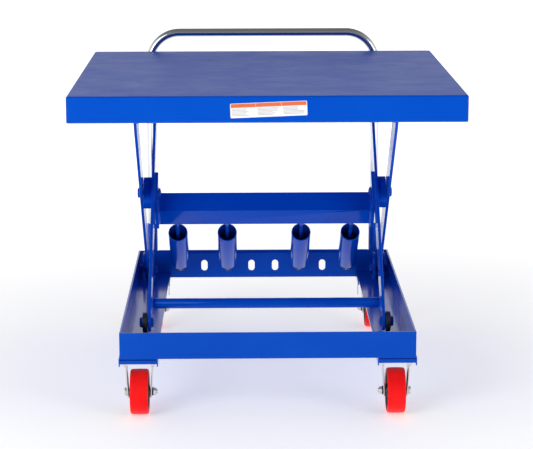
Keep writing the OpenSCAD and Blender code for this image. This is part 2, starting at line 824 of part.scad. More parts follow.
side_rail_left();
side_rail_right();
front_panel();
rear_panel();
pivot_clevises();
base_pivot_pins();
caster_pads();
handle_sockets();
handle();
handle_bolts();
slot_hooks();
front_forks();
front_axles();
caster_bolts();
swivel_plates();
wheel_core_fl();
wheel_core_fr();
wheel_core_rl();
wheel_core_rr();
tread_fl();
tread_fr();
tread_rl();
tread_rr();
swivel_fork_left();
swivel_fork_right();
rear_axle_left();
rear_axle_right();
brake_pedal_left();
brake_pedal_right();
outer_arm_left();
outer_arm_right();
outer_tie_bar();
top_roller_bolts();
top_roller_left();
top_roller_right();
inner_arm_left();
inner_arm_right();
cross_tube();
lever_plates();
spring_beam();
pivot_spacers();
centre_bolts();
bottom_roller_bolts();
bottom_roller_left();
bottom_roller_right();
rod_pins();
spring_tube_1();
spring_tube_2();
spring_tube_3();
spring_tube_4();
draw_rods();
coil_springs();
deck();
roller_rails();
deck_stiffeners();
platform_clevises();
platform_pivot_pins();
decal_plate();
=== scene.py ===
"""Looks of the spring-loaded scissor table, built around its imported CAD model.

Metres, in the CAD frame: the origin is on the floor under the middle of the table,
+X to the right, +Y towards the handle, +Z up. The table stands fully raised.
"""
import json
import math
import random
from collections import namedtuple

import bmesh
import bpy
from mathutils import Matrix, Vector, noise


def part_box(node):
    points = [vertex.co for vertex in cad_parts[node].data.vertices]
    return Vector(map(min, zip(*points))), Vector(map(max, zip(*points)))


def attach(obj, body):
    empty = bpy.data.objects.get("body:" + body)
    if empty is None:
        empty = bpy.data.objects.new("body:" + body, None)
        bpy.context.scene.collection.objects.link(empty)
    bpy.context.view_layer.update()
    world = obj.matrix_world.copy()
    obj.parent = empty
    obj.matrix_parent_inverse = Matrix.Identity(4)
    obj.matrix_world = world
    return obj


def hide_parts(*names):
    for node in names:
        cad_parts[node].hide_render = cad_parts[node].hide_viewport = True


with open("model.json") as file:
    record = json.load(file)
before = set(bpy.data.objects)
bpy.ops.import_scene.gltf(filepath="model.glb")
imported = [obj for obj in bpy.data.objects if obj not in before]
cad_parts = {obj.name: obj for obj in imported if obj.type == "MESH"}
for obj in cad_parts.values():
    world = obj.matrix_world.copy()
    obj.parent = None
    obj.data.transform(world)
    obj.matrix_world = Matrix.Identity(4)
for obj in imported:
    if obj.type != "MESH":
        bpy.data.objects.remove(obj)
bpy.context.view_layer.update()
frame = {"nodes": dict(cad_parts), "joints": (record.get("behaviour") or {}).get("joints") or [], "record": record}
NODES = frame["nodes"]
JOINTS = {joint["name"]: joint for joint in frame["joints"]}
MM = 0.001
X_AXIS, Y_AXIS, Z_AXIS = Vector((1, 0, 0)), Vector((0, 1, 0)), Vector((0, 0, 1))
SIDES = (-1, 1)
TAGGED = ((-1, "left"), (1, "right"))
POLE = 1e-7  # stands for a radius of 0, so that a ring keeps all its points
BASE_SHEET, LEVER_T, EAR_REACH = 5 * MM, 10 * MM, 14 * MM
Box = namedtuple("Box", "low high mid half")


def box(node):
    """Lowest corner, highest corner, centre and half the size of a CAD node."""
    low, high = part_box(node)
    return Box(low, high, (low + high) / 2, (high - low) / 2)


def pivot(joint):
    """A point on a joint's axis."""
    return Vector(JOINTS[joint]["pos_m"])


def new_object(name, data):
    """Adds an object with the given data to the scene."""
    made = bpy.data.objects.new(name, data)
    bpy.context.scene.collection.objects.link(made)
    return made


# ---- camera ------------------------------------------------------------------

def add_camera():
    """Stands in front of the table, a little above the platform, looking down."""
    distance, height, left = 4.786, 1.507, 0.068
    down, right, roll = math.radians(11.65), math.radians(0.776), math.radians(-0.12)
    data = bpy.data.cameras.new("camera")
    data.sensor_width = 36.0
    data.lens = 129.1
    data.clip_start, data.clip_end = 0.1, 60.0
    data.dof.use_dof = False
    cam = new_object("camera", data)
    cam.location = (-left, box("front_panel").low.y - distance, height)
    turn = Matrix.Rotation(-right, 3, "Z") @ Matrix.Rotation(math.pi / 2 - down, 3, "X")
    cam.rotation_euler = (turn @ Matrix.Rotation(roll, 3, "Z")).to_euler()
    bpy.context.scene.camera = cam


add_camera()


# ---- mesh helpers ------------------------------------------------------------

REPLACED = set()


def finish_piece(name, bm, body, slot, replaces=None, smooth=32, material=None):
    """Turns a bmesh into a piece on a body. The first piece to name a node replaces it."""
    bmesh.ops.remove_doubles(bm, verts=bm.verts, dist=1e-6)
    bmesh.ops.recalc_face_normals(bm, faces=bm.faces)
    mesh = bpy.data.meshes.new(name)
    bm.to_mesh(mesh)
    bm.free()
    mesh.polygons.foreach_set("use_smooth", [True] * len(mesh.polygons))
    mesh.set_sharp_from_angle(angle=math.radians(smooth))
    piece = new_object(name, mesh)
    mesh.materials.append(material or BY_SLOT[slot])
    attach(piece, body)
    if replaces and replaces not in REPLACED:
        REPLACED.add(replaces)
        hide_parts(replaces)


def aim(axis, centre=(0, 0, 0)):
    """Matrix that takes local +Z to axis and the origin to centre."""
    axis = Vector(axis).normalized()
    if axis.z < -0.9999:
        turn = Matrix.Rotation(math.pi, 4, "X")
    else:
        turn = axis.to_track_quat("Z", "Y").to_matrix().to_4x4()
    return Matrix.Translation(Vector(centre)) @ turn


def frame_of(x, y, z, origin):
    """Matrix with the given local axes and origin."""
    return Matrix((
        (x[0], y[0], z[0], origin[0]), (x[1], y[1], z[1], origin[1]),
        (x[2], y[2], z[2], origin[2]), (0, 0, 0, 1)))


def add_rings(bm, rings, closed=False, cap=False):
    """Joins rings of points, each the same length, with quads. Returns the rings' vertices."""
    made = [[bm.verts.new(p) for p in ring] for ring in rings]
    pairs = list(zip(made, made[1:]))
    if closed:
        pairs.append((made[-1], made[0]))
    for a, b in pairs:
        for i in range(len(a)):
            j = (i + 1) % len(a)
            bm.faces.new((a[i], a[j], b[j], b[i]))
    if cap:
        bm.faces.new(made[0])
        bm.faces.new(list(reversed(made[-1])))
    return made


def add_lathe(bm, profile, matrix, segments=64, closed=False):
    """Revolves (radius, height) points about local Z. A radius of 0 closes the form."""
    turns = [2 * math.pi * i / segments for i in range(segments)]
    rings = []
    for r, z in profile:
        r = max(r, POLE)
        rings.append([matrix @ Vector((r * math.cos(t), r * math.sin(t), z)) for t in turns])
    add_rings(bm, rings, closed)


def rounded(profile, radius, steps=4):
    """Rounds the inner corners of an open (r, z) profile."""
    out = [Vector(profile[0])]
    for before, corner, after in zip(profile, profile[1:], profile[2:]):
        before, corner, after = Vector(before), Vector(corner), Vector(after)
        a, b = before - corner, after - corner
        reach = min(radius, a.length * 0.45, b.length * 0.45)
        start, end = corner + a.normalized() * reach, corner + b.normalized() * reach
        for i in range(steps + 1):
            t = i / steps
            out.append(start.lerp(corner, t).lerp(corner.lerp(end, t), t))
    out.append(Vector(profile[-1]))
    return [tuple(p) for p in out]


def add_collar(bm, profile, radius, steps, matrix, segments):
    """Revolves a closed ring profile, all but its first corner rounded."""
    add_lathe(bm, rounded(profile + profile[:1], radius, steps)[:-1], matrix, segments, True)


def add_pin(bm, matrix, reach, shank_r, head_r, head_t, radius):
    """Headed pin along local Z, reach to both sides of the origin, its head at the low end."""
    neck = head_t + 0.1 * MM
    add_lathe(bm, rounded([
        (0, -reach), (head_r, -reach), (head_r, head_t - reach), (shank_r, neck - reach),
        (shank_r, reach), (0, reach)
    ], radius, 3), matrix, 32)


def add_sweep(bm, points, radius, segments=24, caps=True):
    """Round tube along points; radius is a number or a function of the point's index."""
    points = [Vector(p) for p in points]
    rings = []
    side = None
    for i, p in enumerate(points):
        ahead = points[min(i + 1, len(points) - 1)] - points[max(i - 1, 0)]
        ahead.normalize()
        if side is None:
            side = ahead.orthogonal().normalized()
        side = (side - ahead * side.dot(ahead)).normalized()
        up = ahead.cross(side)
        r = radius(i) if callable(radius) else radius
        rings.append([
            p + r * (math.cos(t) * side + math.sin(t) * up)
            for t in (2 * math.pi * k / segments for k in range(segments))
        ])
    add_rings(bm, rings, cap=caps)


def add_block(bm, low, high, matrix=Matrix.Identity(4), bevel=0.0, steps=2):
    """Box between two corners, its edges rounded."""
    low, high = Vector(low), Vector(high)
    made = bmesh.ops.create_cube(bm, size=1.0)
    size = high - low
    verts = made["verts"]
    for v in verts:
        v.co = Vector((v.co.x * size.x, v.co.y * size.y, v.co.z * size.z)) + (low + high) / 2
    if bevel:
        edges = list({e for v in verts for e in v.link_edges})
        out = bmesh.ops.bevel(
            bm, geom=edges, offset=bevel, segments=steps, affect="EDGES", profile=0.5)
        grow = list({v for f in out["faces"] for v in f.verts} | {v for v in verts if v.is_valid})
        verts = set(grow)
        while grow:
            v = grow.pop()
            fresh = {e.other_vert(v) for e in v.link_edges} - verts
            verts |= fresh
            grow += fresh
    for v in verts:
        v.co = matrix @ v.co


def add_plate(bm, outline, thickness, matrix, bevel=0.0, steps=2):
    """Flat plate with the given outline in local XY, its mid-plane at local Z 0."""
    half = thickness / 2
    lower = [bm.verts.new((x, y, -half)) for x, y in outline]
    upper = [bm.verts.new((x, y, half)) for x, y in outline]
    faces = [bm.faces.new(list(reversed(lower))), bm.faces.new(upper)]
    for i in range(len(outline)):
        j = (i + 1) % len(outline)
        faces.append(bm.faces.new((lower[i], lower[j], upper[j], upper[i])))
    verts = set(lower + upper)
    if bevel:
        rims = [e for f in faces[:2] for e in f.edges]
        out = bmesh.ops.bevel(
            bm, geom=rims, offset=bevel, segments=steps, affect="EDGES", profile=0.5)
        verts = {v for v in verts if v.is_valid} | {v for f in out["faces"] for v in f.verts}
    for v in verts:
        v.co = matrix @ v.co


def arc(cx, cy, r, start, end, steps=12):
    """Points of an arc, angles in degrees."""
    turns = [math.radians(start + (end - start) * i / steps) for i in range(steps + 1)]
    return [(cx + r * math.cos(t), cy + r * math.sin(t)) for t in turns]


def rounded_corners(w, l, r, steps=5):
    """Outline of a rectangle with round corners."""
    points = []
    for sx, sy, start in ((1, -1, -90), (1, 1, 0), (-1, 1, 90), (-1, -1, 180)):
        points += arc(sx * (w / 2 - r), sy * (l / 2 - r), r, start, start + 90, steps)
    return points


def add_hex(bm, matrix, flats, height, segments=60):
    """Hexagonal head or nut on local Z 0 to height, with its outer corners turned off."""
    apothem = flats / 2
    flat_r = 0.94 * apothem

    def hex_r(t):
        return apothem / math.cos((t + math.pi / 6) % (math.pi / 3) - math.pi / 6)

    turns = [2 * math.pi * i / segments for i in range(segments)]

    def ring(radius_of, z_of):
        return [
            matrix @ Vector((radius_of(t) * math.cos(t), radius_of(t) * math.sin(t), z_of(t)))
            for t in turns
        ]

    def cut(t):
        return (hex_r(t) - flat_r) * math.tan(math.radians(28))

    rings = [
        ring(lambda t: POLE, lambda t: 0.0),
        ring(lambda t: flat_r, lambda t: 0.0),
        ring(hex_r, cut),
        ring(hex_r, lambda t: height - cut(t)),
        ring(lambda t: flat_r, lambda t: height),
        ring(lambda t: flat_r * 0.97, lambda t: height),
        ring(lambda t: POLE, lambda t: height),
    ]
    add_rings(bm, rings)


def add_thread(bm, matrix, diameter, length, pitch=1.5 * MM):
    """Threaded stub on local Z 0 to length, as a run of V-shaped grooves."""
    r = diameter / 2
    turns = max(1, int(length / pitch))
    profile = [(0, 0), (r * 0.9, 0)]
    for i in range(turns):
        profile += [(r, (i + 0.5) * pitch), (r * 0.9, (i + 1) * pitch)]
    profile += [(r * 0.8, length), (0, length)]
    add_lathe(bm, profile, matrix, 28)


def add_washer(bm, matrix, inner, outer, thickness):
    """Flat washer on local Z 0 to thickness."""
    e = min(0.4 * MM, thickness * 0.3)
    add_lathe(bm, [
        (inner / 2, 0), (outer / 2 - e, 0), (outer / 2, e), (outer / 2, thickness - e),
        (outer / 2 - e, thickness), (inner / 2, thickness)
    ], matrix, 48, closed=True)


WELD_STEP, WELD_RIPPLE, WELD_SINK = 1.1 * MM, 4.4 * MM, 0.6 * MM


def bead_ring(p, a, b, size):
    """Section of a fillet at p, between faces along a and b, sunk a little into both."""
    return [
        p - WELD_SINK * (a + b),
        p + a * size - b * WELD_SINK,
        p + a * size * 0.72 + b * size * 0.42,
        p + a * size * 0.42 + b * size * 0.72,
        p + b * size - a * WELD_SINK,
    ]


def bead_size(phase, rng):
    """Ripple of the bead's leg at a phase in radians, with a little scatter."""
    return 0.86 + 0.14 * (0.5 + 0.5 * math.cos(phase)) + rng.uniform(-0.04, 0.04)


def add_weld(bm, start, end, face_a, face_b, leg=4.5 * MM, seed=0):
    """Fillet weld between two points: overlapping ripples in the corner of two faces."""
    start, end = Vector(start), Vector(end)
    a, b = Vector(face_a).normalized(), Vector(face_b).normalized()
    run = (end - start).length
    count = max(3, int(run / WELD_STEP))
    rng = random.Random(seed)
    rings = []
    for i in range(count + 1):
        t = i / count
        taper = min(1.0, 0.35 + 6 * min(t, 1 - t) * run / (30 * MM))
        size = leg * taper * bead_size(2 * math.pi * (i * WELD_STEP) / WELD_RIPPLE, rng)
        rings.append(bead_ring(start.lerp(end, t), a, b, size))
    add_rings(bm, rings, cap=True)


def add_ring_weld(bm, matrix, radius, leg=4.5 * MM, seed=0):
    """Fillet weld round a tube that stands on the local XY plane."""
    rim = 2 * math.pi * radius
    count = max(24, int(rim / WELD_STEP))
    rng = random.Random(seed)
    rings = []
    for i in range(count):
        t = 2 * math.pi * i / count
        size = leg * bead_size(t * round(rim / WELD_RIPPLE), rng)
        out = Vector((math.cos(t), math.sin(t), 0))
        rings.append([matrix @ p for p in bead_ring(out * radius, out, Z_AXIS, size)])
    add_rings(bm, rings, closed=True)


# ---- materials ---------------------------------------------------------------

class Shader:
    """A node material under construction. Coordinates are the piece's own, in metres."""

    def __init__(self, name):
        self.material = bpy.data.materials.new(name)
        self.material.use_nodes = True
        self.tree = self.material.node_tree
        self.bsdf = self.tree.nodes["Principled BSDF"]
        self.place = self.add("TexCoord").outputs["Object"]

    def add(self, kind, props=None, **inputs):
        """Adds a node, sets its properties, and sets or links its inputs by name or index."""
        node = self.tree.nodes.new("ShaderNode" + kind)
        for key, value in (props or {}).items():
            setattr(node, key, value)
        for key, value in inputs.items():
            numbered = key[0] == "i" and key[1:].isdigit()
            self.put(node.inputs[int(key[1:]) if numbered else key], value)
        return node

    def put(self, socket, value):
        if isinstance(value, bpy.types.NodeSocket):
            self.tree.links.new(value, socket)
        else:
            socket.default_value = value

    def set(self, **inputs):
        """Sets or links inputs of the surface shader; an underscore stands for a space."""
        for key, value in inputs.items():
            self.put(self.bsdf.inputs[key.replace("_", " ")], value)

    def noise(self, scale, detail=2.0, stretch=(1, 1, 1), rough=0.5):
        """Noise from 0 to 1; scale is in features a metre."""
        mapped = self.add("Mapping", Vector=self.place, Scale=stretch).outputs[0]
        node = self.add("TexNoise", Vector=mapped, Scale=scale, Detail=detail, Roughness=rough)
        return node.outputs["Fac"]

    def spread(self, value, low, high, out_low=0.0, out_high=1.0):
        """Maps a range of value to another range, clamped."""
        return self.add("MapRange", i0=value, i1=low, i2=high, i3=out_low, i4=out_high).outputs[0]

    def math(self, operation, a, b=0.0):
        return self.add("Math", {"operation": operation}, i0=a, i1=b).outputs[0]

    def mix(self, fac, a, b):
        """Mixes two colours."""
        node = self.add("Mix", {"data_type": "RGBA"}, Factor=fac)
        self.put(node.inputs[6], a)
        self.put(node.inputs[7], b)
        return node.outputs[2]

    def blend(self, value, low, high, a, b, most=1.0):
        """Goes from colour a to as much as most of colour b as value goes from low to high."""
        return self.mix(self.spread(value, low, high, 0.0, most), a, b)

    def edges(self, radius, low=0.02, high=0.25):
        """1 on sharp edges within a radius, 0 on flats."""
        soft = self.add("Bevel", {"samples": 6}, Radius=radius).outputs[0]
        hard = self.add("NewGeometry").outputs["Normal"]
        same = self.add("VectorMath", {"operation": "DOT_PRODUCT"}, i0=soft, i1=hard)
        return self.spread(self.math("SUBTRACT", 1.0, same.outputs["Value"]), low, high)

    def bump(self, *layers):
        """Adds bump layers of (height, depth in metres) and links the result."""
        normal = None
        for height, depth in layers:
            node = self.add("Bump", Height=height, Distance=depth, Strength=1.0)
            if normal is not None:
                self.put(node.inputs["Normal"], normal)
            normal = node.outputs[0]
        self.set(Normal=normal)


def rgb(r, g, b):
    return (r, g, b, 1.0)


# The edge lightening's strength and width set a painted highlight on the edges, partly rubbed paint.
def powder_coat(name, colour, light, rough, gloss, edge_rub_and_highlight=0.55, edge_rub_and_highlight_width=2.4 * MM,
                ripple=0.0, peel=0.02 * MM):
    """Sprayed and baked paint: orange peel, slight shade changes, and edges lightened towards a pale blue in
    specks: a painted highlight, partly standing for rubbed-through paint.

    ripple is the depth of the long waves in sheet metal under the paint.
    """
    s = Shader(name)
    drift = s.noise(7, 3)
    speck = s.noise(900, 2)
    # painted highlight: sharp edges are lightened towards a pale blue in noisy specks, partly rubbed paint and
    # partly a painted edge highlight
    edge = s.edges(edge_rub_and_highlight_width)
    rubbed_and_highlit_edges = s.math("MULTIPLY", edge, s.spread(s.noise(120, 4), 0.35, 0.75, 0.15, 1.0))
    undercoat_and_highlight_colour = rgb(0.16, 0.26, 0.60)
    shade = s.blend(drift, 0.3, 0.7, colour, light, 0.35)
    shade = s.blend(speck, 0.62, 0.78, shade, light, 0.18)
    shade = s.mix(s.math("MULTIPLY", rubbed_and_highlit_edges, edge_rub_and_highlight), shade, undercoat_and_highlight_colour)
    dust = s.spread(s.noise(28, 5, rough=0.65), 0.55, 0.85, 0.0, 0.06)
    s.set(Base_Color=shade, Specular_IOR_Level=gloss, Specular_Tint=rgb(0.15, 0.35, 1.0))
    s.set(Roughness=s.math("ADD", s.spread(drift, 0.3, 0.7, rough - 0.03, rough + 0.04), dust))
    s.bump((s.noise(8, 3, rough=0.4), ripple), (s.noise(330, 2), peel),
           (s.noise(1300, 1), peel * 0.2))
    return s.material


def plated(name, colour, rough):
    """Plated steel: a little mottling and colour in the plate, fine surface grain."""
    mottle, tint = 0.06, (0.72, 0.68, 0.55)
    s = Shader(name)
    cloud = s.noise(60, 4)
    tinge = s.noise(22, 2)
    shade = s.blend(tinge, 0.45, 0.75, rgb(*colour), rgb(*tint), 0.35)
    dull = rgb(*(c * 0.72 for c in colour))
    shade = s.blend(cloud, 0.3, 0.8, shade, dull, 0.25)
    s.set(Base_Color=shade, Metallic=1.0)
    s.set(Roughness=s.spread(cloud, 0.25, 0.75, rough - mottle, rough + mottle))
    s.bump((s.noise(700, 2), 0.01 * MM))
    return s.material


def chrome_plate():
    """Bright chrome with faint smears along the tube."""
    s = Shader("handle_chrome")
    smear = s.noise(18, 5, stretch=(1, 1, 0.4), rough=0.6)
    bright, dull = rgb(0.62, 0.63, 0.66), rgb(0.50, 0.48, 0.45)
    s.set(Base_Color=s.blend(smear, 0.5, 0.8, bright, dull, 0.3))
    s.set(Metallic=1.0, Roughness=s.spread(smear, 0.3, 0.8, 0.07, 0.17))
    s.bump((s.noise(260, 2), 0.004 * MM))
    return s.material


def red_urethane():
    """Cast polyurethane tread: smooth, a little scuffed where it rolls."""
    s = Shader("tread_red")
    scuff = s.noise(150, 5, stretch=(0.35, 1, 1), rough=0.65)
    drift = s.noise(16, 2)
    shade = s.blend(drift, 0.3, 0.7, rgb(0.88, 0.006, 0.008), rgb(0.94, 0.012, 0.012))
    shade = s.blend(scuff, 0.62, 0.8, shade, rgb(0.76, 0.04, 0.035), 0.2)
    s.set(Base_Color=shade, Roughness=s.spread(scuff, 0.3, 0.8, 0.34, 0.50))
    s.set(Specular_IOR_Level=0.3, Specular_Tint=rgb(1.0, 0.25, 0.25))
    s.bump((scuff, 0.05 * MM), (s.noise(800, 2), 0.012 * MM))
    return s.material


def black_iron():
    """Painted cast iron, gritty, with a little bare metal on its edges."""
    s = Shader("wheel_iron")
    grit = s.noise(420, 3)
    edge = s.edges(1.2 * MM)
    shade = s.blend(grit, 0.3, 0.8, rgb(0.018, 0.018, 0.02), rgb(0.045, 0.043, 0.042))
    s.set(Base_Color=s.mix(s.math("MULTIPLY", edge, 0.4), shade, rgb(0.16, 0.15, 0.14)))
    s.set(Roughness=s.spread(grit, 0.3, 0.7, 0.42, 0.62), Metallic=0.0)
    s.bump((grit, 0.10 * MM))
    return s.material


def nylon():
    """Moulded black plastic with faint marks round it."""
    s, rough = Shader("nylon"), 0.42
    fine = s.noise(600, 3)
    marks = s.noise(90, 4, stretch=(6, 1, 1))
    base, mark = rgb(0.010, 0.010, 0.012), rgb(0.024, 0.024, 0.0276)
    shade = s.blend(marks, 0.4, 0.8, base, mark)
    s.set(Base_Color=shade, Roughness=s.spread(fine, 0.3, 0.7, rough - 0.06, rough + 0.08))
    s.bump((fine, 0.02 * MM))
    return s.material


def dark_steel():
    """Oiled steel, nearly black."""
    s = Shader("dark_steel")
    cloud = s.noise(80, 4)
    shade = s.blend(cloud, 0.3, 0.7, rgb(0.035, 0.035, 0.042), rgb(0.075, 0.07, 0.07))
    s.set(Base_Color=shade, Metallic=0.75, Roughness=s.spread(cloud, 0.3, 0.7, 0.34, 0.5))
    s.bump((s.noise(500, 2), 0.02 * MM))
    return s.material


def vinyl(name, colour):
    """Printed vinyl film."""
    s = Shader(name)
    fade = s.noise(40, 3)
    faded = rgb(*(c * 0.93 for c in colour))
    s.set(Base_Color=s.blend(fade, 0.3, 0.8, rgb(*colour), faded))
    s.set(Roughness=s.spread(fade, 0.3, 0.8, 0.3, 0.38), Coat_Weight=0.2, Coat_Roughness=0.15)
    s.bump((s.noise(240, 2), 0.01 * MM))
    return s.material


FRAME_PAINT = powder_coat(
    "frame_paint", rgb(0.0004, 0.056, 0.450), rgb(0.002, 0.082, 0.530), rough=0.13, gloss=0.45)
# the deck's edges get a full-strength, wider painted highlight
DECK_PAINT = powder_coat(
    "deck_paint", rgb(0.0004, 0.066, 0.500), rgb(0.002, 0.092, 0.570), rough=0.42, gloss=0.14,
    edge_rub_and_highlight=1.0, edge_rub_and_highlight_width=6 * MM, ripple=3 * MM)
CHROME = chrome_plate()
ZINC = plated("zinc", (0.74, 0.74, 0.72), 0.30)
RED = red_urethane()
IRON = black_iron()
NYLON = nylon()
DARK = dark_steel()
LABEL_WHITE = vinyl("decal", (0.86, 0.86, 0.85))
LABEL_ORANGE = vinyl("decal_orange", (0.72, 0.13, 0.035))
LABEL_GREY = vinyl("decal_grey", (0.42, 0.42, 0.45))
BY_SLOT = {
    "frame_paint": FRAME_PAINT, "deck_paint": DECK_PAINT, "handle_chrome": CHROME, "zinc": ZINC,
    "tread_red": RED, "wheel_iron": IRON, "nylon": NYLON, "dark_steel": DARK, "decal": LABEL_WHITE,
}


def dress_cad_nodes():
    """Gives each CAD node its slot's material, and softens its edges where they catch light."""
    for part in frame["record"]["subparts"]:
        node = NODES[part["node"]]
        slot = part["material_slot"]
        if not node.material_slots:
            node.data.materials.append(None)
        for place in node.material_slots:
            place.material = BY_SLOT[slot]
        weld = node.modifiers.new("weld", "WELD")
        weld.merge_threshold = 0.00001
        bevel = node.modifiers.new("bevel", "BEVEL")
        bevel.width = 0.7 * MM
        bevel.segments = 2
        bevel.limit_method = "ANGLE"
        bevel.angle_limit = math.radians(40)
        bevel.harden_normals = True


dress_cad_nodes()


# ---- studio ------------------------------------------------------------------

def add_area(name, place, target, size, power):
    """Rectangular white lamp that faces its target."""
    data = bpy.data.lights.new(name, "AREA")
    data.shape = "RECTANGLE"
    data.size, data.size_y = size
    data.energy = power
    lamp = new_object(name, data)
    lamp.location = place
    aim_at = Vector(target) - Vector(place)
    lamp.rotation_euler = aim_at.to_track_quat("-Z", "Y").to_euler()


def add_world():
    """Sky that is brightest along the horizon behind the table, dim overhead and in front."""
    world = bpy.data.worlds.new("studio")
    bpy.context.scene.world = world
    world.use_nodes = True
    nodes, links = world.node_tree.nodes, world.node_tree.links
    place = nodes.new("ShaderNodeTexCoord")
    split = nodes.new("ShaderNodeSeparateXYZ")
    links.new(place.outputs["Generated"], split.inputs[0])
    product = nodes.new("ShaderNodeMath")
    product.operation = "MULTIPLY"
    for index, (axis, start, end, near, far) in enumerate((
            ("Z", 0.16, 0.95, 1.02, 0.2), ("Y", -0.95, -0.35, 0.30, 1.0))):
        ramp = nodes.new("ShaderNodeMapRange")
        ramp.interpolation_type = "SMOOTHSTEP"
        links.new(split.outputs[axis], ramp.inputs["Value"])
        ramp.inputs["From Min"].default_value, ramp.inputs["From Max"].default_value = start, end
        ramp.inputs["To Min"].default_value, ramp.inputs["To Max"].default_value = near, far
        links.new(ramp.outputs[0], product.inputs[index])
    links.new(product.outputs[0], nodes["Background"].inputs["Strength"])
    nodes["Background"].inputs["Color"].default_value = rgb(1.0, 1.0, 1.0)


def add_floor():
    """Flat pale floor with a faint glow that fades it to white away from the table."""
    shader = Shader("floor")
    tone = shader.noise(0.8, 3)
    away = shader.add("VectorMath", {"operation": "LENGTH"}, i0=shader.place).outputs["Value"]
    glow = shader.spread(away, 0.5, 3.5, 0.38, 0.85)
    shader.set(
        Base_Color=shader.mix(tone, rgb(0.90, 0.90, 0.90), rgb(0.93, 0.93, 0.93)),
        Roughness=shader.spread(tone, 0.2, 0.8, 0.6, 0.75),
        Emission_Color=rgb(1.0, 1.0, 1.0), Emission_Strength=glow)
    reach = 18.0
    bm = bmesh.new()
    corners = ((-reach, -reach), (reach, -reach), (reach, reach), (-reach, reach))
    bm.faces.new([bm.verts.new((x, y, 0)) for x, y in corners])
    mesh = bpy.data.meshes.new("floor")
    bm.to_mesh(mesh)
    bm.free()
    floor = new_object("floor", mesh)
    mesh.materials.append(shader.material)


def add_studio():
    """White sky, pale floor and two soft lamps in front."""
    add_world()
    add_floor()
    middle = (0, 0, 0.5)
    add_area("key", (-3.2, -4.2, 2.0), middle, (2.6, 3.2), 110)
    add_area("fill", (3.8, -3.6, 1.5), middle, (2.0, 2.6), 55)
    bpy.context.scene.view_settings.view_transform = "Standard"


add_studio()


# ---- platform ----------------------------------------------------------------

def make_deck():
    """Folded sheet tray: gentle waves in the top, rounded folds, a hemmed skirt edge."""
    low, high, mid, half = box("deck")
    sheet, fold, corner, hem = 4 * MM, 5 * MM, 8 * MM, 1.2 * MM
    nx, ny, turn = 60, 60, 6

    def ring(inset, z):
        """Rounded rectangle; its straight sides have nx or ny steps and its corners turn steps."""
        r = max(corner - inset, 0.5 * MM)
        cx, cy = half.x - inset - r, half.y - inset - r
        points = []
        for side, (sx, sy, n) in enumerate(((1, -1, nx), (1, 1, ny), (-1, 1, nx), (-1, -1, ny))):
            if side % 2 == 0:
                line = [(-sx * cx + 2 * sx * cx * i / n, sy * (cy + r)) for i in range(n + 1)]
            else:
                line = [(sx * (cx + r), -sy * cy + 2 * sy * cy * i / n) for i in range(n + 1)]
            points += line + arc(sx * cx, sy * cy, r, side * 90 - 90, side * 90, turn)[1:-1]
        return [Vector((mid.x + x, mid.y + y, z)) for x, y in points]

    profile = [(sheet, high.z - sheet), (sheet, low.z + hem), (sheet - hem, low.z)]
    profile += [(hem, low.z), (0, low.z + hem), (0, high.z - fold)]
    profile += [(fold - y, high.z - fold + x) for y, x in arc(0, 0, fold, 0, 90, 6)[1:]]
    bm = bmesh.new()
    rings = add_rings(bm, [ring(inset, z) for inset, z in profile])
    bm.faces.new(list(reversed(rings[0])))

    margin = 14 * MM
    depth, fade = 0.45 * MM, 90 * MM
    grid = []
    for j in range(ny + 1):
        row = []
        for i in range(nx + 1):
            x = (half.x - margin) * (2 * i / nx - 1)
            y = (half.y - margin) * (2 * j / ny - 1)
            edge = min(half.x - margin - abs(x), half.y - margin - abs(y)) / fade
            hold = min(1.0, edge) ** 2 * (3 - 2 * min(1.0, edge))
            swell = noise.noise(Vector((x * 3.1 + 2.0, y * 2.2, 0.3)))
            swell += 0.5 * noise.noise(Vector((x * 7.0, y * 5.0, 4.1)))
            row.append(bm.verts.new((mid.x + x, mid.y + y, high.z - depth * hold * (0.6 + swell))))
        grid.append(row)
    for j in range(ny):
        for i in range(nx):
            bm.faces.new((grid[j][i], grid[j][i + 1], grid[j + 1][i + 1], grid[j + 1][i]))
    border = list(grid[0]) + [grid[0][-1]] * (turn - 1)
    border += [row[-1] for row in grid] + [grid[-1][-1]] * (turn - 1)
    border += list(reversed(grid[-1])) + [grid[-1][0]] * (turn - 1)
    border += [row[0] for row in reversed(grid)] + [grid[0][0]] * (turn - 1)
    rim = rings[-1]
    for k in range(len(rim)):
        m = (k + 1) % len(rim)
        loop = [rim[k], rim[m], border[m]]
        if border[k] is not border[m]:
            loop.append(border[k])
        bm.faces.new(loop)
    finish_piece("deck_sheet", bm, "platform", "deck_paint", "deck", 40)


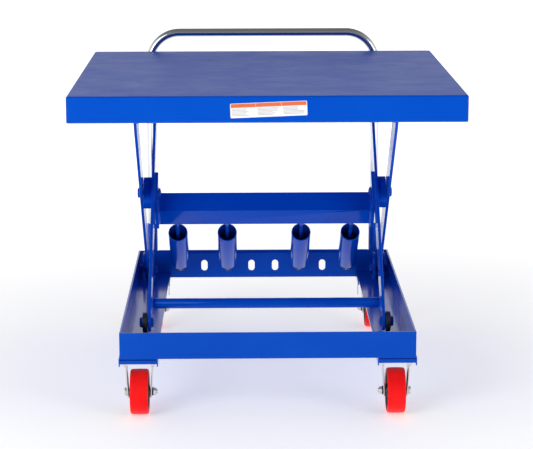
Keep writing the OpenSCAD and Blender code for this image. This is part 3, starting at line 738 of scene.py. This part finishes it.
def make_decal():
    """Plain label: a coloured band over three columns of blank grey bars."""
    plate = box("decal_plate")
    tilt = Matrix.Rotation(math.radians(-2.2), 4, "Y")
    face = Matrix.Translation((plate.mid.x, plate.high.y, plate.mid.z))
    face = face @ tilt @ Matrix.Rotation(math.pi / 2, 4, "X")
    w, h, film = 194 * MM, 37 * MM, 0.25 * MM
    bm = bmesh.new()
    middle = face @ Matrix.Translation((0, 0, film / 2))
    add_plate(bm, rounded_corners(w, h, 2.5 * MM), film, middle)
    finish_piece("decal_film", bm, "platform", "decal", "decal_plate")

    def patch(bm, x0, x1, y0, y1):
        z = film + 0.05 * MM
        corners = [(x0, y0), (x1, y0), (x1, y1), (x0, y1)]
        bm.faces.new([bm.verts.new(face @ Vector((x, y, z))) for x, y in corners])

    bm = bmesh.new()
    band_low, band_high = 7.5 * MM, h / 2 - 1.0 * MM
    columns, seam, margin = 3, 0.3 * MM, 1.6 * MM
    column_w = w / columns
    for c in range(columns):
        x = -w / 2 + c * column_w
        patch(bm, x + (seam if c else margin), x + column_w - (seam if c < columns - 1 else margin),
              band_low, band_high)
    finish_piece("decal_band", bm, "platform", "decal", material=LABEL_ORANGE)

    bm = bmesh.new()
    rng = random.Random(4)
    rows, row_h, bar_h = 6, 3.3 * MM, 1.3 * MM
    for c in range(columns):
        x = -w / 2 + c * column_w + 4 * MM
        for k in range(rows):
            y = band_low - 3.4 * MM - k * row_h
            bar_w = (column_w - 9 * MM) * rng.uniform(0.6, 1.0)
            patch(bm, x, x + bar_w, y - bar_h / 2, y + bar_h / 2)
    finish_piece("decal_bars", bm, "platform", "decal", material=LABEL_GREY)


make_deck()
make_decal()


# ---- handle ------------------------------------------------------------------

def make_handle():
    """One bent tube with open ends down in the sockets."""
    low, high, mid, half = box("handle")
    r = 90 * MM
    x, top = high.x - half.y, high.z - half.y
    right = [(x, low.z), (x, top - r)]
    right += arc(x - r, top - r, r, 0, 90, 20)[1:]
    route = right + [(-px, pz) for px, pz in reversed(right)]
    bm = bmesh.new()
    add_sweep(bm, [(px, mid.y, pz) for px, pz in route], half.y, 48)
    finish_piece("handle_tube", bm, "base", "handle_chrome", "handle", 50)

    socket = box("handle_sockets")
    socket_r, tall = socket.half.y, socket.high.z - socket.low.z
    inner_r, depth = socket_r - 2.5 * MM, 60 * MM
    bm = bmesh.new()
    for side in SIDES:
        place = Matrix.Translation((side * x, socket.mid.y, socket.low.z))
        add_lathe(bm, rounded([
            (0, 0), (socket_r, 0), (socket_r, tall), (inner_r, tall), (inner_r, tall - depth)
        ], 0.9 * MM, 3), place, 48)
    finish_piece("handle_socket_tubes", bm, "base", "frame_paint", "handle_sockets", 40)

    bm = bmesh.new()
    bolts = box("handle_bolts").mid
    for side in SIDES:
        centre = Vector((side * x, bolts.y, bolts.z))
        for way, head_t in ((side * X_AXIS, 5.5 * MM), (-side * X_AXIS, 6.5 * MM)):
            add_hex(bm, aim(way, centre + way * (socket_r + 0.8 * MM)), 13 * MM, head_t)
            washer = aim(way, centre + way * (socket_r - 0.4 * MM))
            add_washer(bm, washer, 8 * MM, 17 * MM, 1.2 * MM)
    finish_piece("handle_bolt_set", bm, "base", "zinc", "handle_bolts")


make_handle()


# ---- wheels ------------------------------------------------------------------

def make_wheel(tag, joint):
    """Crowned tread on a black core with ribs, a hub and bearing shields."""
    body = "wheel_" + tag
    cast, core = box("tread_" + tag), box("wheel_core_" + tag)
    r, half, core_r, hub_half = cast.half.z, cast.half.x, core.half.z, core.half.x
    place = aim(X_AXIS, pivot(joint))
    crown, shoulder, across = 0.5 * MM, 5 * MM, 14
    flat = half - shoulder
    left = [(core_r - 0.6 * MM, -half + 1.2 * MM), (core_r + 0.8 * MM, -half)]
    left += arc(r - crown - shoulder, -flat, shoulder, -90, 0, 8)
    right = [(radius, -z) for radius, z in reversed(left)]
    middle = []
    for i in range(1, across):
        t = 2 * i / across - 1
        middle.append((r - crown * t * t, t * flat))
    bm = bmesh.new()
    add_lathe(bm, left + middle + right, place, 144, closed=True)
    finish_piece("tread_cast_" + tag, bm, body, "tread_red", "tread_" + tag, 35)

    hub_r, bore, rim, web = 18 * MM, 6.6 * MM, half - 1.0 * MM, 8 * MM
    side = [
        (bore, hub_half), (hub_r, hub_half), (hub_r + 3 * MM, web + 3 * MM),
        (core_r - 11 * MM, web), (core_r - 6.5 * MM, rim), (core_r, rim)
    ]
    outline = rounded([(radius, -z) for radius, z in side] + side[::-1], 1.6 * MM, 3)
    bm = bmesh.new()
    add_lathe(bm, outline, place, 96, closed=True)
    ribs = 6
    for k in range(2 * ribs):
        out = SIDES[k % 2]
        turn = Matrix.Rotation(math.pi * k / ribs, 4, "Z")
        ends = sorted((out * (web - 2 * MM), out * (rim - 5 * MM)))
        add_block(bm, (hub_r + 1 * MM, -2.2 * MM, ends[0]), (core_r - 6 * MM, 2.2 * MM, ends[1]),
                  place @ turn, 0.9 * MM)
    finish_piece("wheel_casting_" + tag, bm, body, "wheel_iron", "wheel_core_" + tag, 35)

    bm = bmesh.new()
    for out in SIDES:
        face = aim(out * X_AXIS, pivot(joint))
        add_collar(bm, [
            (9 * MM, hub_half - 3 * MM), (15.6 * MM, hub_half - 3 * MM),
            (15.2 * MM, hub_half + 0.4 * MM), (9.6 * MM, hub_half + 0.4 * MM)
        ], 0.5 * MM, 2, face, 40)
    finish_piece("bearing_shields_" + tag, bm, body, "dark_steel")


for end in ("front", "rear"):
    for hand in ("left", "right"):
        make_wheel(end[0] + hand[0], f"{end}_{hand}_wheel")


# ---- casters -----------------------------------------------------------------

FORK_W, FORK_FOOT, FORK_SHEET = 74 * MM, 64 * MM, 3.5 * MM
PLATE_T = 4 * MM
PLATE_HOLES = [(i * 36 * MM, j * 34 * MM) for i in SIDES for j in SIDES]


def add_fork_legs(bm, x, y, top, axle, length):
    """Two pressed legs that lean in from the crown to the axle, with a raised boss at the foot."""
    foot = 17 * MM
    for out in SIDES:
        start = Vector((x + out * FORK_W / 2, y, top))
        end = Vector((x + out * FORK_FOOT / 2, y, axle.z))
        fall = (end - start).length
        down = (end - start).normalized()
        outward = (out * X_AXIS - down * down.x * out).normalized()
        side = outward.cross(down)
        basis = frame_of(down, side, outward, start)
        swing = (axle.y - y) * side.y
        outline = [(0, length / 2)] + arc(fall, swing, foot, 74, -74, 16) + [(0, -length / 2)]
        middle = basis @ Matrix.Translation((0, 0, -FORK_SHEET / 2))
        add_plate(bm, outline, FORK_SHEET, middle, 0.9 * MM)
        boss = basis @ Matrix.Translation((fall, swing, 0))
        add_lathe(bm, [(6.5 * MM, -0.4 * MM), (6.5 * MM, 0.9 * MM), (12 * MM, 0.9 * MM),
                       (14 * MM, -0.4 * MM)], boss, 40, closed=True)


def make_axle_set(end, tag, axle, out, body, node):
    """Axle bolt: head and washer outboard, spacers in the fork, lock nut and thread inboard."""
    bright, dark = bmesh.new(), bmesh.new()
    face, hub_face, shank_r = FORK_FOOT / 2 + 1.0 * MM, 27.1 * MM, 6 * MM
    bore, thin, thick = 12.4 * MM, 1.8 * MM, 2.6 * MM
    outward, inward = out * X_AXIS, -out * X_AXIS
    shank = [(0, -face), (shank_r, -face), (shank_r, face), (0, face)]
    add_lathe(bright, shank, aim(outward, axle), 32)
    add_washer(bright, aim(outward, axle + outward * face), bore, 24 * MM, thin)
    add_hex(bright, aim(outward, axle + outward * (face + thin)), 19 * MM, 5.2 * MM)
    for way in (-X_AXIS, X_AXIS):
        add_washer(bright, aim(way, axle + way * hub_face), bore, 22 * MM, 0.5 * MM)
    add_washer(dark, aim(inward, axle + inward * face), bore, 23 * MM, thick)
    nut = axle + inward * (face + thick)
    add_hex(bright, aim(inward, nut), 18 * MM, 6.4 * MM)
    add_lathe(bright, rounded([
        (8.4 * MM, 0), (8.2 * MM, 2.2 * MM), (6.2 * MM, 2.6 * MM), (6.0 * MM, 0)
    ], 0.7 * MM, 3), aim(inward, nut + inward * 6.3 * MM), 36, closed=True)
    add_thread(bright, aim(inward, nut + inward * 6.0 * MM), 11.6 * MM, 5.2 * MM)
    finish_piece(f"{end}_axle_set_{tag}", bright, body, "zinc", node)
    finish_piece(f"{end}_axle_washer_{tag}", dark, body, "dark_steel")


def make_plate_bolts(end, tag, x, y, under):
    """Four nuts with washers and thread ends under a caster plate."""
    bm = bmesh.new()
    for i, j in PLATE_HOLES:
        foot = Vector((x + i, y + j, under))
        add_washer(bm, aim(-Z_AXIS, foot), 8.4 * MM, 15.5 * MM, 1.5 * MM)
        add_hex(bm, aim(-Z_AXIS, foot - Z_AXIS * 1.5 * MM), 12.6 * MM, 4.5 * MM)
        add_thread(bm, aim(-Z_AXIS, foot + Z_AXIS * 4 * MM), 7.8 * MM, 13 * MM, 1.25 * MM)
    finish_piece(f"{end}_plate_bolts_{tag}", bm, "base", "zinc", "caster_bolts")


def add_caster_plate(bm, x, y, top):
    """Mounting plate under the base, its upper face at top."""
    add_plate(bm, rounded_corners(94 * MM, 90 * MM, 6 * MM), PLATE_T - 0.1 * MM,
              Matrix.Translation((x, y, top - PLATE_T / 2)), 0.8 * MM)


def make_front_casters():
    """Rigid forks welded to their plates, with axles and mounting bolts."""
    top = box("front_forks").high.z
    under = top - PLATE_T
    for out, tag in TAGGED:
        axle = pivot(f"front_{tag}_wheel")
        bm = bmesh.new()
        add_caster_plate(bm, axle.x, axle.y, top)
        add_fork_legs(bm, axle.x, axle.y, under, axle, 50 * MM)
        for side in SIDES:
            edge = axle.x + side * FORK_W / 2
            add_weld(bm, (edge, axle.y - 24 * MM, under), (edge, axle.y + 24 * MM, under),
                     side * X_AXIS, -Z_AXIS, 3.2 * MM, seed=side + 5)
        finish_piece("rigid_fork_" + tag, bm, "base", "zinc", "front_forks", 40)
        make_axle_set("front", tag, axle, out, "base", "front_axles")
        make_plate_bolts("front", tag, axle.x, axle.y, under)


def make_rear_casters():
    """Swivel heads on the base, with forks and brake pedals that turn with them."""
    plate_top, crown_t = box("swivel_plates").high.z, 4 * MM
    for out, tag in TAGGED:
        swivel = pivot(f"rear_{tag}_swivel")
        axle = pivot(f"rear_{tag}_wheel")
        body, top = "swivel_" + tag, swivel.z
        under = plate_top - PLATE_T
        bm = bmesh.new()
        add_caster_plate(bm, swivel.x, swivel.y, plate_top)
        add_lathe(bm, rounded([
            (0, under + 1 * MM), (31 * MM, under + 1 * MM), (30 * MM, under - 3 * MM),
            (27 * MM, top + 1.2 * MM), (18 * MM, top + 1.2 * MM), (16 * MM, under - 2 * MM),
            (0, under - 2 * MM)
        ], 1.6 * MM, 4), Matrix.Translation((swivel.x, swivel.y, 0)), 64)
        king = swivel - Z_AXIS * (crown_t + 1 * MM)
        add_hex(bm, aim(-Z_AXIS, king), 19 * MM, 6.5 * MM)
        add_lathe(bm, [(0, 0), (7 * MM, 0), (7 * MM, 18 * MM), (0, 18 * MM)],
                  Matrix.Translation((swivel.x, swivel.y, top - crown_t - 6 * MM)), 32)
        finish_piece("swivel_head_" + tag, bm, "base", "zinc", "swivel_plates", 35)
        make_plate_bolts("rear", tag, swivel.x, swivel.y, under)

        bm = bmesh.new()
        spin = Matrix.Translation((swivel.x, swivel.y, top))
        add_collar(bm, [
            (7.3 * MM, 0), (20 * MM, 0), (22.5 * MM, -1.6 * MM), (25 * MM, 0), (33 * MM, 0),
            (FORK_W / 2, -1.4 * MM), (FORK_W / 2, -crown_t), (7.3 * MM, -crown_t)
        ], 1.2 * MM, 3, spin, 72)
        add_fork_legs(bm, swivel.x, swivel.y, top - crown_t, axle, 56 * MM)
        pin = pivot(tag + "_brake")
        reach_out = box("swivel_fork_" + tag).half.x
        add_lathe(bm, rounded([
            (0, -reach_out), (4.5 * MM, -reach_out), (4.5 * MM, -reach_out + 2 * MM),
            (3 * MM, -reach_out + 2.2 * MM), (3 * MM, reach_out - 2.2 * MM),
            (4.5 * MM, reach_out - 2 * MM), (4.5 * MM, reach_out), (0, reach_out)
        ], 0.6 * MM, 2), aim(X_AXIS, (swivel.x, pin.y, pin.z)), 24)
        lean = Matrix.Translation((swivel.x - out * (FORK_W / 2 + 9 * MM), pin.y, pin.z))
        lean = lean @ Matrix.Rotation(math.radians(12), 4, "X")
        lean = lean @ Matrix.Rotation(math.pi / 2, 4, "Y")
        crank = arc(0, 0, 5 * MM, -90, -270, 8)
        crank = [(34 * MM, -4 * MM)] + crank + [(34 * MM, 4 * MM)]
        add_plate(bm, crank, 3 * MM, lean, 0.6 * MM)
        finish_piece("swivel_yoke_" + tag, bm, body, "zinc", "swivel_fork_" + tag, 38)
        make_axle_set("rear", tag, axle, out, body, "rear_axle_" + tag)

        bm = bmesh.new()
        w, l, droop = 44 * MM, 66 * MM, math.radians(11)
        add_collar(bm, [
            (3.1 * MM, -w / 2), (6 * MM, -w / 2), (6 * MM, w / 2), (3.1 * MM, w / 2)
        ], 0.7 * MM, 2, aim(X_AXIS, pin), 32)
        tread = Matrix.Translation(pin) @ Matrix.Rotation(-droop, 4, "X")
        sheet = [(-w * 0.42, 4 * MM), (w * 0.42, 4 * MM), (w / 2, 16 * MM)]
        for side, start in ((1, 0), (-1, 90)):
            sheet += arc(side * (w / 2 - 8 * MM), l - 8 * MM, 8 * MM, start, start + 90, 6)
        sheet += [(-w / 2, 16 * MM)]
        add_plate(bm, sheet, 3 * MM, tread @ Matrix.Translation((0, 0, 2.5 * MM)), 0.7 * MM)
        for k in range(5):
            y = l - 8 * MM - k * 7 * MM
            add_block(bm, (-w * 0.36, y, 3.2 * MM), (w * 0.36, y + 2.4 * MM, 5.2 * MM),
                      tread, 0.8 * MM)
        finish_piece("brake_tread_" + tag, bm, "brake_" + tag, "zinc", "brake_pedal_" + tag, 40)


make_front_casters()
make_rear_casters()


# ---- scissor pivots ----------------------------------------------------------

CENTRE = pivot("scissor")
LOW_ROLLER = pivot("bottom_roller_left_spin")
ARM_UP = Vector((0, CENTRE.y - LOW_ROLLER.y, CENTRE.z - LOW_ROLLER.z)).normalized()
HOOK, ROD = pivot("tube_tilt"), pivot("rod_swing")
SPRING_UP = (ROD - HOOK).normalized()
SPRING_X = [box(f"spring_tube_{k}").mid.x for k in range(1, 5)]


def upright(up, origin):
    """Frame with local X along +X and local Z along up."""
    return frame_of(X_AXIS, up.cross(X_AXIS), up, origin)


def sheet_frame(up, origin):
    """Frame for plates square to X: local X is square to up, local Y along up."""
    return frame_of(up.cross(X_AXIS), up, X_AXIS, origin)


def add_pivot_bolt(bm, centre, low_x, high_x, flats, side):
    """Bolt along X between two planes: washers, a head on one side, nut and thread on the other."""
    shank_d, head_t, washer_t = 15.8 * MM, 8 * MM, 2 * MM
    half = (high_x - low_x) / 2
    add_lathe(bm, [(0, -half), (shank_d / 2, -half), (shank_d / 2, half), (0, half)],
              aim(X_AXIS, ((low_x + high_x) / 2, centre.y, centre.z)), 32)
    for out, face in ((-1, low_x), (1, high_x)):
        at = Vector((face, centre.y, centre.z))
        way = out * X_AXIS
        add_washer(bm, aim(way, at), shank_d * 1.04, flats * 1.28, washer_t)
        seat = aim(way, at + way * washer_t)
        if out == side:
            top = head_t - washer_t
            add_hex(bm, seat, flats, top)
            add_lathe(bm, rounded([
                (0, top - 0.1 * MM), (flats * 0.33, top - 0.1 * MM),
                (flats * 0.31, top + 0.25 * MM), (0, top + 0.25 * MM)
            ], 0.2 * MM, 2), seat, 36)
        else:
            add_hex(bm, seat, flats, head_t - washer_t - 1.5 * MM)
            add_thread(bm, aim(way, at + way * (head_t - 3 * MM)), shank_d * 0.96, 3 * MM, 1 * MM)


def make_pivot_bolts():
    """Centre bolts, rear pivot pins and roller bolts, each as a bolt with washers."""
    inner, outer = box("inner_arm_right"), box("outer_arm_right")
    roller = box("bottom_roller_right")
    half_arm, half_roller = inner.half.x, roller.half.x
    gap, deck_ears = 0.6 * MM, 8 * MM
    inner_x, outer_x = inner.mid.x, outer.mid.x
    inside, outside = inner_x - half_arm - gap, outer_x + half_arm + gap
    jobs = (
        ("centre_bolt", "centre_bolts", CENTRE, inside - LEVER_T, outside, 24, "inner_arms", 1),
        ("low_roller_bolt", "bottom_roller_bolts", LOW_ROLLER, inside,
         roller.mid.x + half_roller + gap, 24, "inner_arms", 1),
        ("top_roller_bolt", "top_roller_bolts", pivot("top_roller_left_spin"),
         box("top_roller_right").mid.x - half_roller - gap, outside, 24, "outer_arms", -1),
        ("base_pivot_bolt", "base_pivot_pins", pivot("lift"), outer_x - half_arm - EAR_REACH,
         outer_x + half_arm + EAR_REACH, 22, "base", -1),
        ("deck_pivot_bolt", "platform_pivot_pins", pivot("platform_pivot"),
         inner_x - half_arm - deck_ears, inner_x + half_arm + deck_ears, 22, "platform", -1),
    )
    for name, node, centre, near, far, flats, body, outward in jobs:
        for out, tag in TAGGED:
            bm = bmesh.new()
            low_x, high_x = sorted((out * near, out * far))
            add_pivot_bolt(bm, centre, low_x, high_x, flats * MM, out * outward)
            finish_piece(f"{name}_{tag}", bm, body, "frame_paint", node)


def make_rollers():
    """Moulded nylon rollers with a pressed-in bush."""
    for name in (f"{end}_roller_{hand}" for end in ("top", "bottom") for hand in ("left", "right")):
        size, mid = box(name).half, box(name).mid
        body = name.replace("left", "l").replace("right", "r")
        r, half = size.z, size.x
        side = [(11 * MM, half), (16 * MM, half), (17 * MM, half - 2.5 * MM),
                (r - 6 * MM, half - 2.5 * MM), (r - 5 * MM, half), (r, half)]
        outline = rounded([(a, -z) for a, z in side] + side[::-1], 0.9 * MM, 3)
        bm = bmesh.new()
        add_lathe(bm, outline, aim(X_AXIS, mid), 80, closed=True)
        spokes = 8
        for k in range(2 * spokes):
            out = SIDES[k % 2]
            turn = aim(X_AXIS, mid) @ Matrix.Rotation(math.pi * k / spokes, 4, "Z")
            ends = sorted((out * (half - 3 * MM), out * (half - 0.8 * MM)))
            add_block(bm, (16 * MM, -1 * MM, ends[0]), (r - 5.2 * MM, 1 * MM, ends[1]),
                      turn, 0.3 * MM)
        finish_piece(name + "_moulding", bm, body, "nylon", name, 35)
        bm = bmesh.new()
        add_collar(bm, [
            (8.1 * MM, -half), (11 * MM, -half), (11 * MM, half), (8.1 * MM, half)
        ], 0.3 * MM, 2, aim(X_AXIS, mid), 40)
        finish_piece(name + "_bush", bm, body, "dark_steel")


def make_spacers():
    """Blocks with rounded ends between the arms at the centre pivots."""
    inner, outer = box("inner_arm_right").high.x, box("pivot_spacers").high.x
    run, r = 52 * MM, 24 * MM
    for out, tag in TAGGED:
        bm = bmesh.new()
        outline = arc(0, run / 2, r, 0, 180, 20) + arc(0, -run / 2, r, 180, 360, 20)
        place = sheet_frame(ARM_UP, (out * (inner + outer) / 2, CENTRE.y, CENTRE.z))
        add_plate(bm, outline, outer - inner, place, 1.2 * MM, 3)
        finish_piece("spacer_block_" + tag, bm, "inner_arms", "frame_paint", "pivot_spacers", 40)


make_pivot_bolts()
make_rollers()
make_spacers()


# ---- spring pack -------------------------------------------------------------

TUBE_R = box("spring_tube_1").half.x
TUBE_WALL, TUBE_FOOT, TUBE_MOUTH = 3 * MM, 48 * MM, 261 * MM


def make_spring_tube(index, x):
    """Tube with a rolled mouth and a welded hinge strap; the coil spring is inside."""
    stand = upright(SPRING_UP, (x, HOOK.y, HOOK.z))
    floor, rim, inner_r = TUBE_FOOT + 5 * MM, TUBE_MOUTH - 0.1 * MM, TUBE_R - TUBE_WALL
    bm = bmesh.new()
    add_lathe(bm, rounded([
        (0, TUBE_FOOT), (TUBE_R, TUBE_FOOT), (TUBE_R, rim), (inner_r, rim), (inner_r, floor),
        (0, floor)
    ], 1.2 * MM, 4), stand, 72)
    strap_w, strap_t = 24 * MM, 8 * MM
    sheet = sheet_frame(SPRING_UP, (x, HOOK.y, HOOK.z))
    outline = arc(0, 0, strap_w / 2, 180, 360, 16)
    outline += [(strap_w / 2, TUBE_FOOT), (-strap_w / 2, TUBE_FOOT)]
    add_plate(bm, outline, strap_t, sheet, 0.9 * MM)
    for side in SIDES:
        add_weld(bm, stand @ Vector((side * strap_t / 2, -strap_w / 2, TUBE_FOOT)),
                 stand @ Vector((side * strap_t / 2, strap_w / 2, TUBE_FOOT)),
                 side * X_AXIS, -SPRING_UP, 4 * MM, seed=20 + index)
    finish_piece(f"spring_can_{index}", bm, "spring_tubes", "frame_paint",
                 f"spring_tube_{index}", 38)

    wire, pitch, turns, steps = 3.4 * MM, 7 * MM, 19, 26
    radius, base = inner_r - wire - 1.1 * MM, floor + 1 * MM + wire
    points = []
    for k in range(turns * steps + 1):
        t = 2 * math.pi * k / steps
        z = base + pitch * k / steps
        points.append(stand @ Vector((radius * math.cos(t), radius * math.sin(t), z)))
    bm = bmesh.new()
    add_sweep(bm, points, wire, 10)
    finish_piece(f"coil_spring_{index}", bm, "spring_tubes", "dark_steel", "coil_springs", 50)


def make_draw_rod(index, x):
    """Painted rod with a forged eye, a lock nut, and a plug in the spring's top turns."""
    stand = upright(SPRING_UP, (x, HOOK.y, HOOK.z))
    length = (ROD - HOOK).length
    rod_r, eye_r, eye_w, bore = 5.5 * MM, 12 * MM, 11 * MM, 5.1 * MM
    foot, plug = TUBE_MOUTH - 153 * MM, TUBE_MOUTH - 68 * MM
    bm = bmesh.new()
    neck = length - eye_r
    add_lathe(bm, rounded([
        (0, foot), (rod_r, foot), (rod_r, neck - 14 * MM),
        (rod_r * 1.15, neck + 3 * MM), (0, neck + 3 * MM)
    ], 1.5 * MM, 4), stand, 36)
    eye = aim(X_AXIS, (x, ROD.y, ROD.z))
    add_collar(bm, [
        (bore, 0), (bore, -eye_w / 2), (eye_r, -eye_w / 2), (eye_r, eye_w / 2),
        (bore, eye_w / 2)
    ], 1.8 * MM, 4, eye, 48)
    add_hex(bm, stand @ Matrix.Translation((0, 0, neck - 22 * MM)), 17 * MM, 8 * MM)
    finish_piece(f"draw_rod_{index}", bm, "rods", "frame_paint", "draw_rods", 38)

    bm = bmesh.new()
    core, bore = TUBE_R - TUBE_WALL - 8.5 * MM, rod_r - 1 * MM
    cap = core + 3.5 * MM
    add_lathe(bm, rounded([
        (bore, plug - 30 * MM), (core, plug - 30 * MM), (core, plug + 3 * MM),
        (cap, plug + 4 * MM), (cap, plug + 9 * MM), (bore, plug + 9 * MM)
    ], 0.8 * MM, 3), stand, 48, closed=True)
    add_hex(bm, stand @ Matrix.Translation((0, 0, plug + 9 * MM)), 17 * MM, 8 * MM)
    finish_piece(f"spring_plug_{index}", bm, "rods", "dark_steel")

    bm = bmesh.new()
    add_pin(bm, eye, 15.5 * MM, 4.9 * MM, 7.5 * MM, 2.5 * MM, 0.6 * MM)
    add_washer(bm, aim(X_AXIS, (x + 12.7 * MM, ROD.y, ROD.z)), 10 * MM, 15 * MM, 1.2 * MM)
    finish_piece(f"rod_pin_{index}", bm, "inner_arms", "zinc", "rod_pins")


def make_slot_hook(index, x):
    """Clevis with a threaded shank through its slot, washers both sides and a nut."""
    nut_face = box("side_rail_right").high.y + BASE_SHEET
    eye, ear_t, lead = 12 * MM, 5 * MM, 4.5 * MM
    bm = bmesh.new()
    for side in SIDES:
        outline = arc(0, 0, eye, 90, 270, 14) + [(eye + 2 * MM, -eye), (eye + 2 * MM, eye)]
        place = frame_of(Y_AXIS, Z_AXIS, X_AXIS, (x + side * (lead + ear_t / 2), HOOK.y, HOOK.z))
        add_plate(bm, outline, ear_t, place, 0.8 * MM)
    add_block(bm, (x - 9.5 * MM, HOOK.y + eye - 0.5 * MM, HOOK.z - eye),
              (x + 9.5 * MM, HOOK.y + eye + 4 * MM, HOOK.z + eye), bevel=1.2 * MM, steps=3)
    shank = aim(Y_AXIS, (x, HOOK.y + eye + 3 * MM, HOOK.z))
    shank_l = box("slot_hooks").high.y - HOOK.y - eye - 3.2 * MM
    add_thread(bm, shank, 12 * MM, shank_l, 1.75 * MM)
    add_washer(bm, aim(Y_AXIS, (x, HOOK.y + eye + 4 * MM, HOOK.z)), 12.6 * MM, 30 * MM, 2.8 * MM)
    add_washer(bm, aim(Y_AXIS, (x, nut_face, HOOK.z)), 12.6 * MM, 30 * MM, 3 * MM)
    add_hex(bm, aim(Y_AXIS, (x, nut_face + 3 * MM, HOOK.z)), 19 * MM, 10 * MM)
    add_pin(bm, aim(X_AXIS, (x, HOOK.y, HOOK.z)), 12 * MM, 4.9 * MM, 7 * MM, 2 * MM, 0.5 * MM)
    finish_piece(f"slot_hook_{index}", bm, "base", "dark_steel", "slot_hooks")


for index, x in enumerate(SPRING_X, 1):
    make_spring_tube(index, x)
    make_draw_rod(index, x)
    make_slot_hook(index, x)


# ---- welds -------------------------------------------------------------------

def make_base_welds():
    """Beads of the end panels, clevis ears and handle sockets on the base's rails and panel."""
    rail, socket, ears, handle = (
        box(node) for node in ("side_rail_right", "handle_sockets", "pivot_clevises", "handle"))
    front, rear = box("front_panel").high.y, box("rear_panel").low.y
    wall, flange = rail.high.x - BASE_SHEET, rail.low.z + BASE_SHEET
    ear_t, leg = 6 * MM, 5 * MM
    leg_x, outer = handle.high.x - handle.half.y, box("outer_arm_right").mid.x
    bm = bmesh.new()
    for out in SIDES:
        inward = -out * X_AXIS
        for y, way, seed in ((front, Y_AXIS, 1), (rear, -Y_AXIS, 2)):
            add_weld(bm, (out * wall, y, flange + 3 * MM), (out * wall, y, rail.high.z - 4 * MM),
                     inward, way, leg, seed)
            add_weld(bm, (out * (wall - 4 * MM), y, flange), (out * rail.low.x, y, flange),
                     Z_AXIS, way, leg, seed + 2)
        for ear in SIDES:
            for face in SIDES:
                x = out * outer + ear * EAR_REACH + face * ear_t / 2
                add_weld(bm, (x, ears.low.y + 2 * MM, flange), (x, ears.high.y - 2 * MM, flange),
                         face * X_AXIS, Z_AXIS, 4.5 * MM, seed=10 + face)
        for side in SIDES:
            x = out * leg_x + side * socket.half.y * 0.80
            y = socket.low.y
            add_weld(bm, (x, y, socket.low.z + 4 * MM), (x, y, rail.high.z - 12 * MM),
                     side * X_AXIS, Y_AXIS, 6 * MM, seed=30 + side)
    finish_piece("base_welds", bm, "base", "frame_paint", smooth=60)


def make_arm_welds():
    """Beads round the cross tubes, on the lever plates and along the spring beam."""
    tube, tie = box("cross_tube"), box("outer_tie_bar")
    inner_face, outer_face = box("inner_arm_right").low.x, box("outer_arm_right").low.x
    bm = bmesh.new()
    for out in SIDES:
        add_ring_weld(bm, aim(-out * X_AXIS, (out * inner_face, tube.mid.y, tube.mid.z)),
                      tube.half.z, 5 * MM, seed=3)
    lever = upright(ARM_UP, CENTRE)
    # In this frame local Z runs up the arm and local Y square to it, to the rear and down
    down, up = lever.to_3x3() @ Y_AXIS, lever.to_3x3() @ Z_AXIS
    plate = inner_face - LEVER_T
    foot, leg, sheet, corner, plate_top = -41 * MM, 65 * MM, 5 * MM, 33 * MM, -24.5 * MM
    for x, start, end, face, seed in (
            (plate, (corner, foot + 2 * MM), (corner, foot + leg - 2 * MM), -down, 40),
            (plate, (corner + sheet, foot + sheet + 2 * MM),
             (corner + sheet, foot + leg - 4 * MM), down, 42),
            (plate, (corner + 3 * MM, foot), (corner + 63 * MM, foot), -up, 45),
            (inner_face, (plate_top, -44 * MM), (plate_top, 53 * MM), -down, 47)):
        for out in SIDES:
            add_weld(bm, lever @ Vector((out * x, *start)), lever @ Vector((out * x, *end)),
                     -out * X_AXIS, face, 5 * MM, seed)
    finish_piece("inner_arm_welds", bm, "inner_arms", "frame_paint", smooth=60)

    bm = bmesh.new()
    for out in SIDES:
        add_ring_weld(bm, aim(-out * X_AXIS, (out * outer_face, tie.mid.y, tie.mid.z)),
                      tie.half.z, 5 * MM, seed=4)
    finish_piece("outer_arm_welds", bm, "outer_arms", "frame_paint", smooth=60)


def make_deck_welds():
    """Stitch welds along the roller rails under the deck."""
    rails = box("roller_rails")
    rail_x = box("top_roller_right").mid.x
    bm = bmesh.new()
    under = rails.high.z
    stitch, stitches = 45 * MM, 7
    run = rails.high.y - rails.low.y
    for out in SIDES:
        for side in SIDES:
            for k in range(stitches):
                y = rails.low.y + (k + 0.5) * run / stitches
                x = out * rail_x + side * 20 * MM
                add_weld(bm, (x, y - stitch / 2, under), (x, y + stitch / 2, under),
                         side * X_AXIS, -Z_AXIS, 4.5 * MM, seed=50 + k)
    finish_piece("deck_welds", bm, "platform", "frame_paint", smooth=60)


make_base_welds()
make_arm_welds()
make_deck_welds()
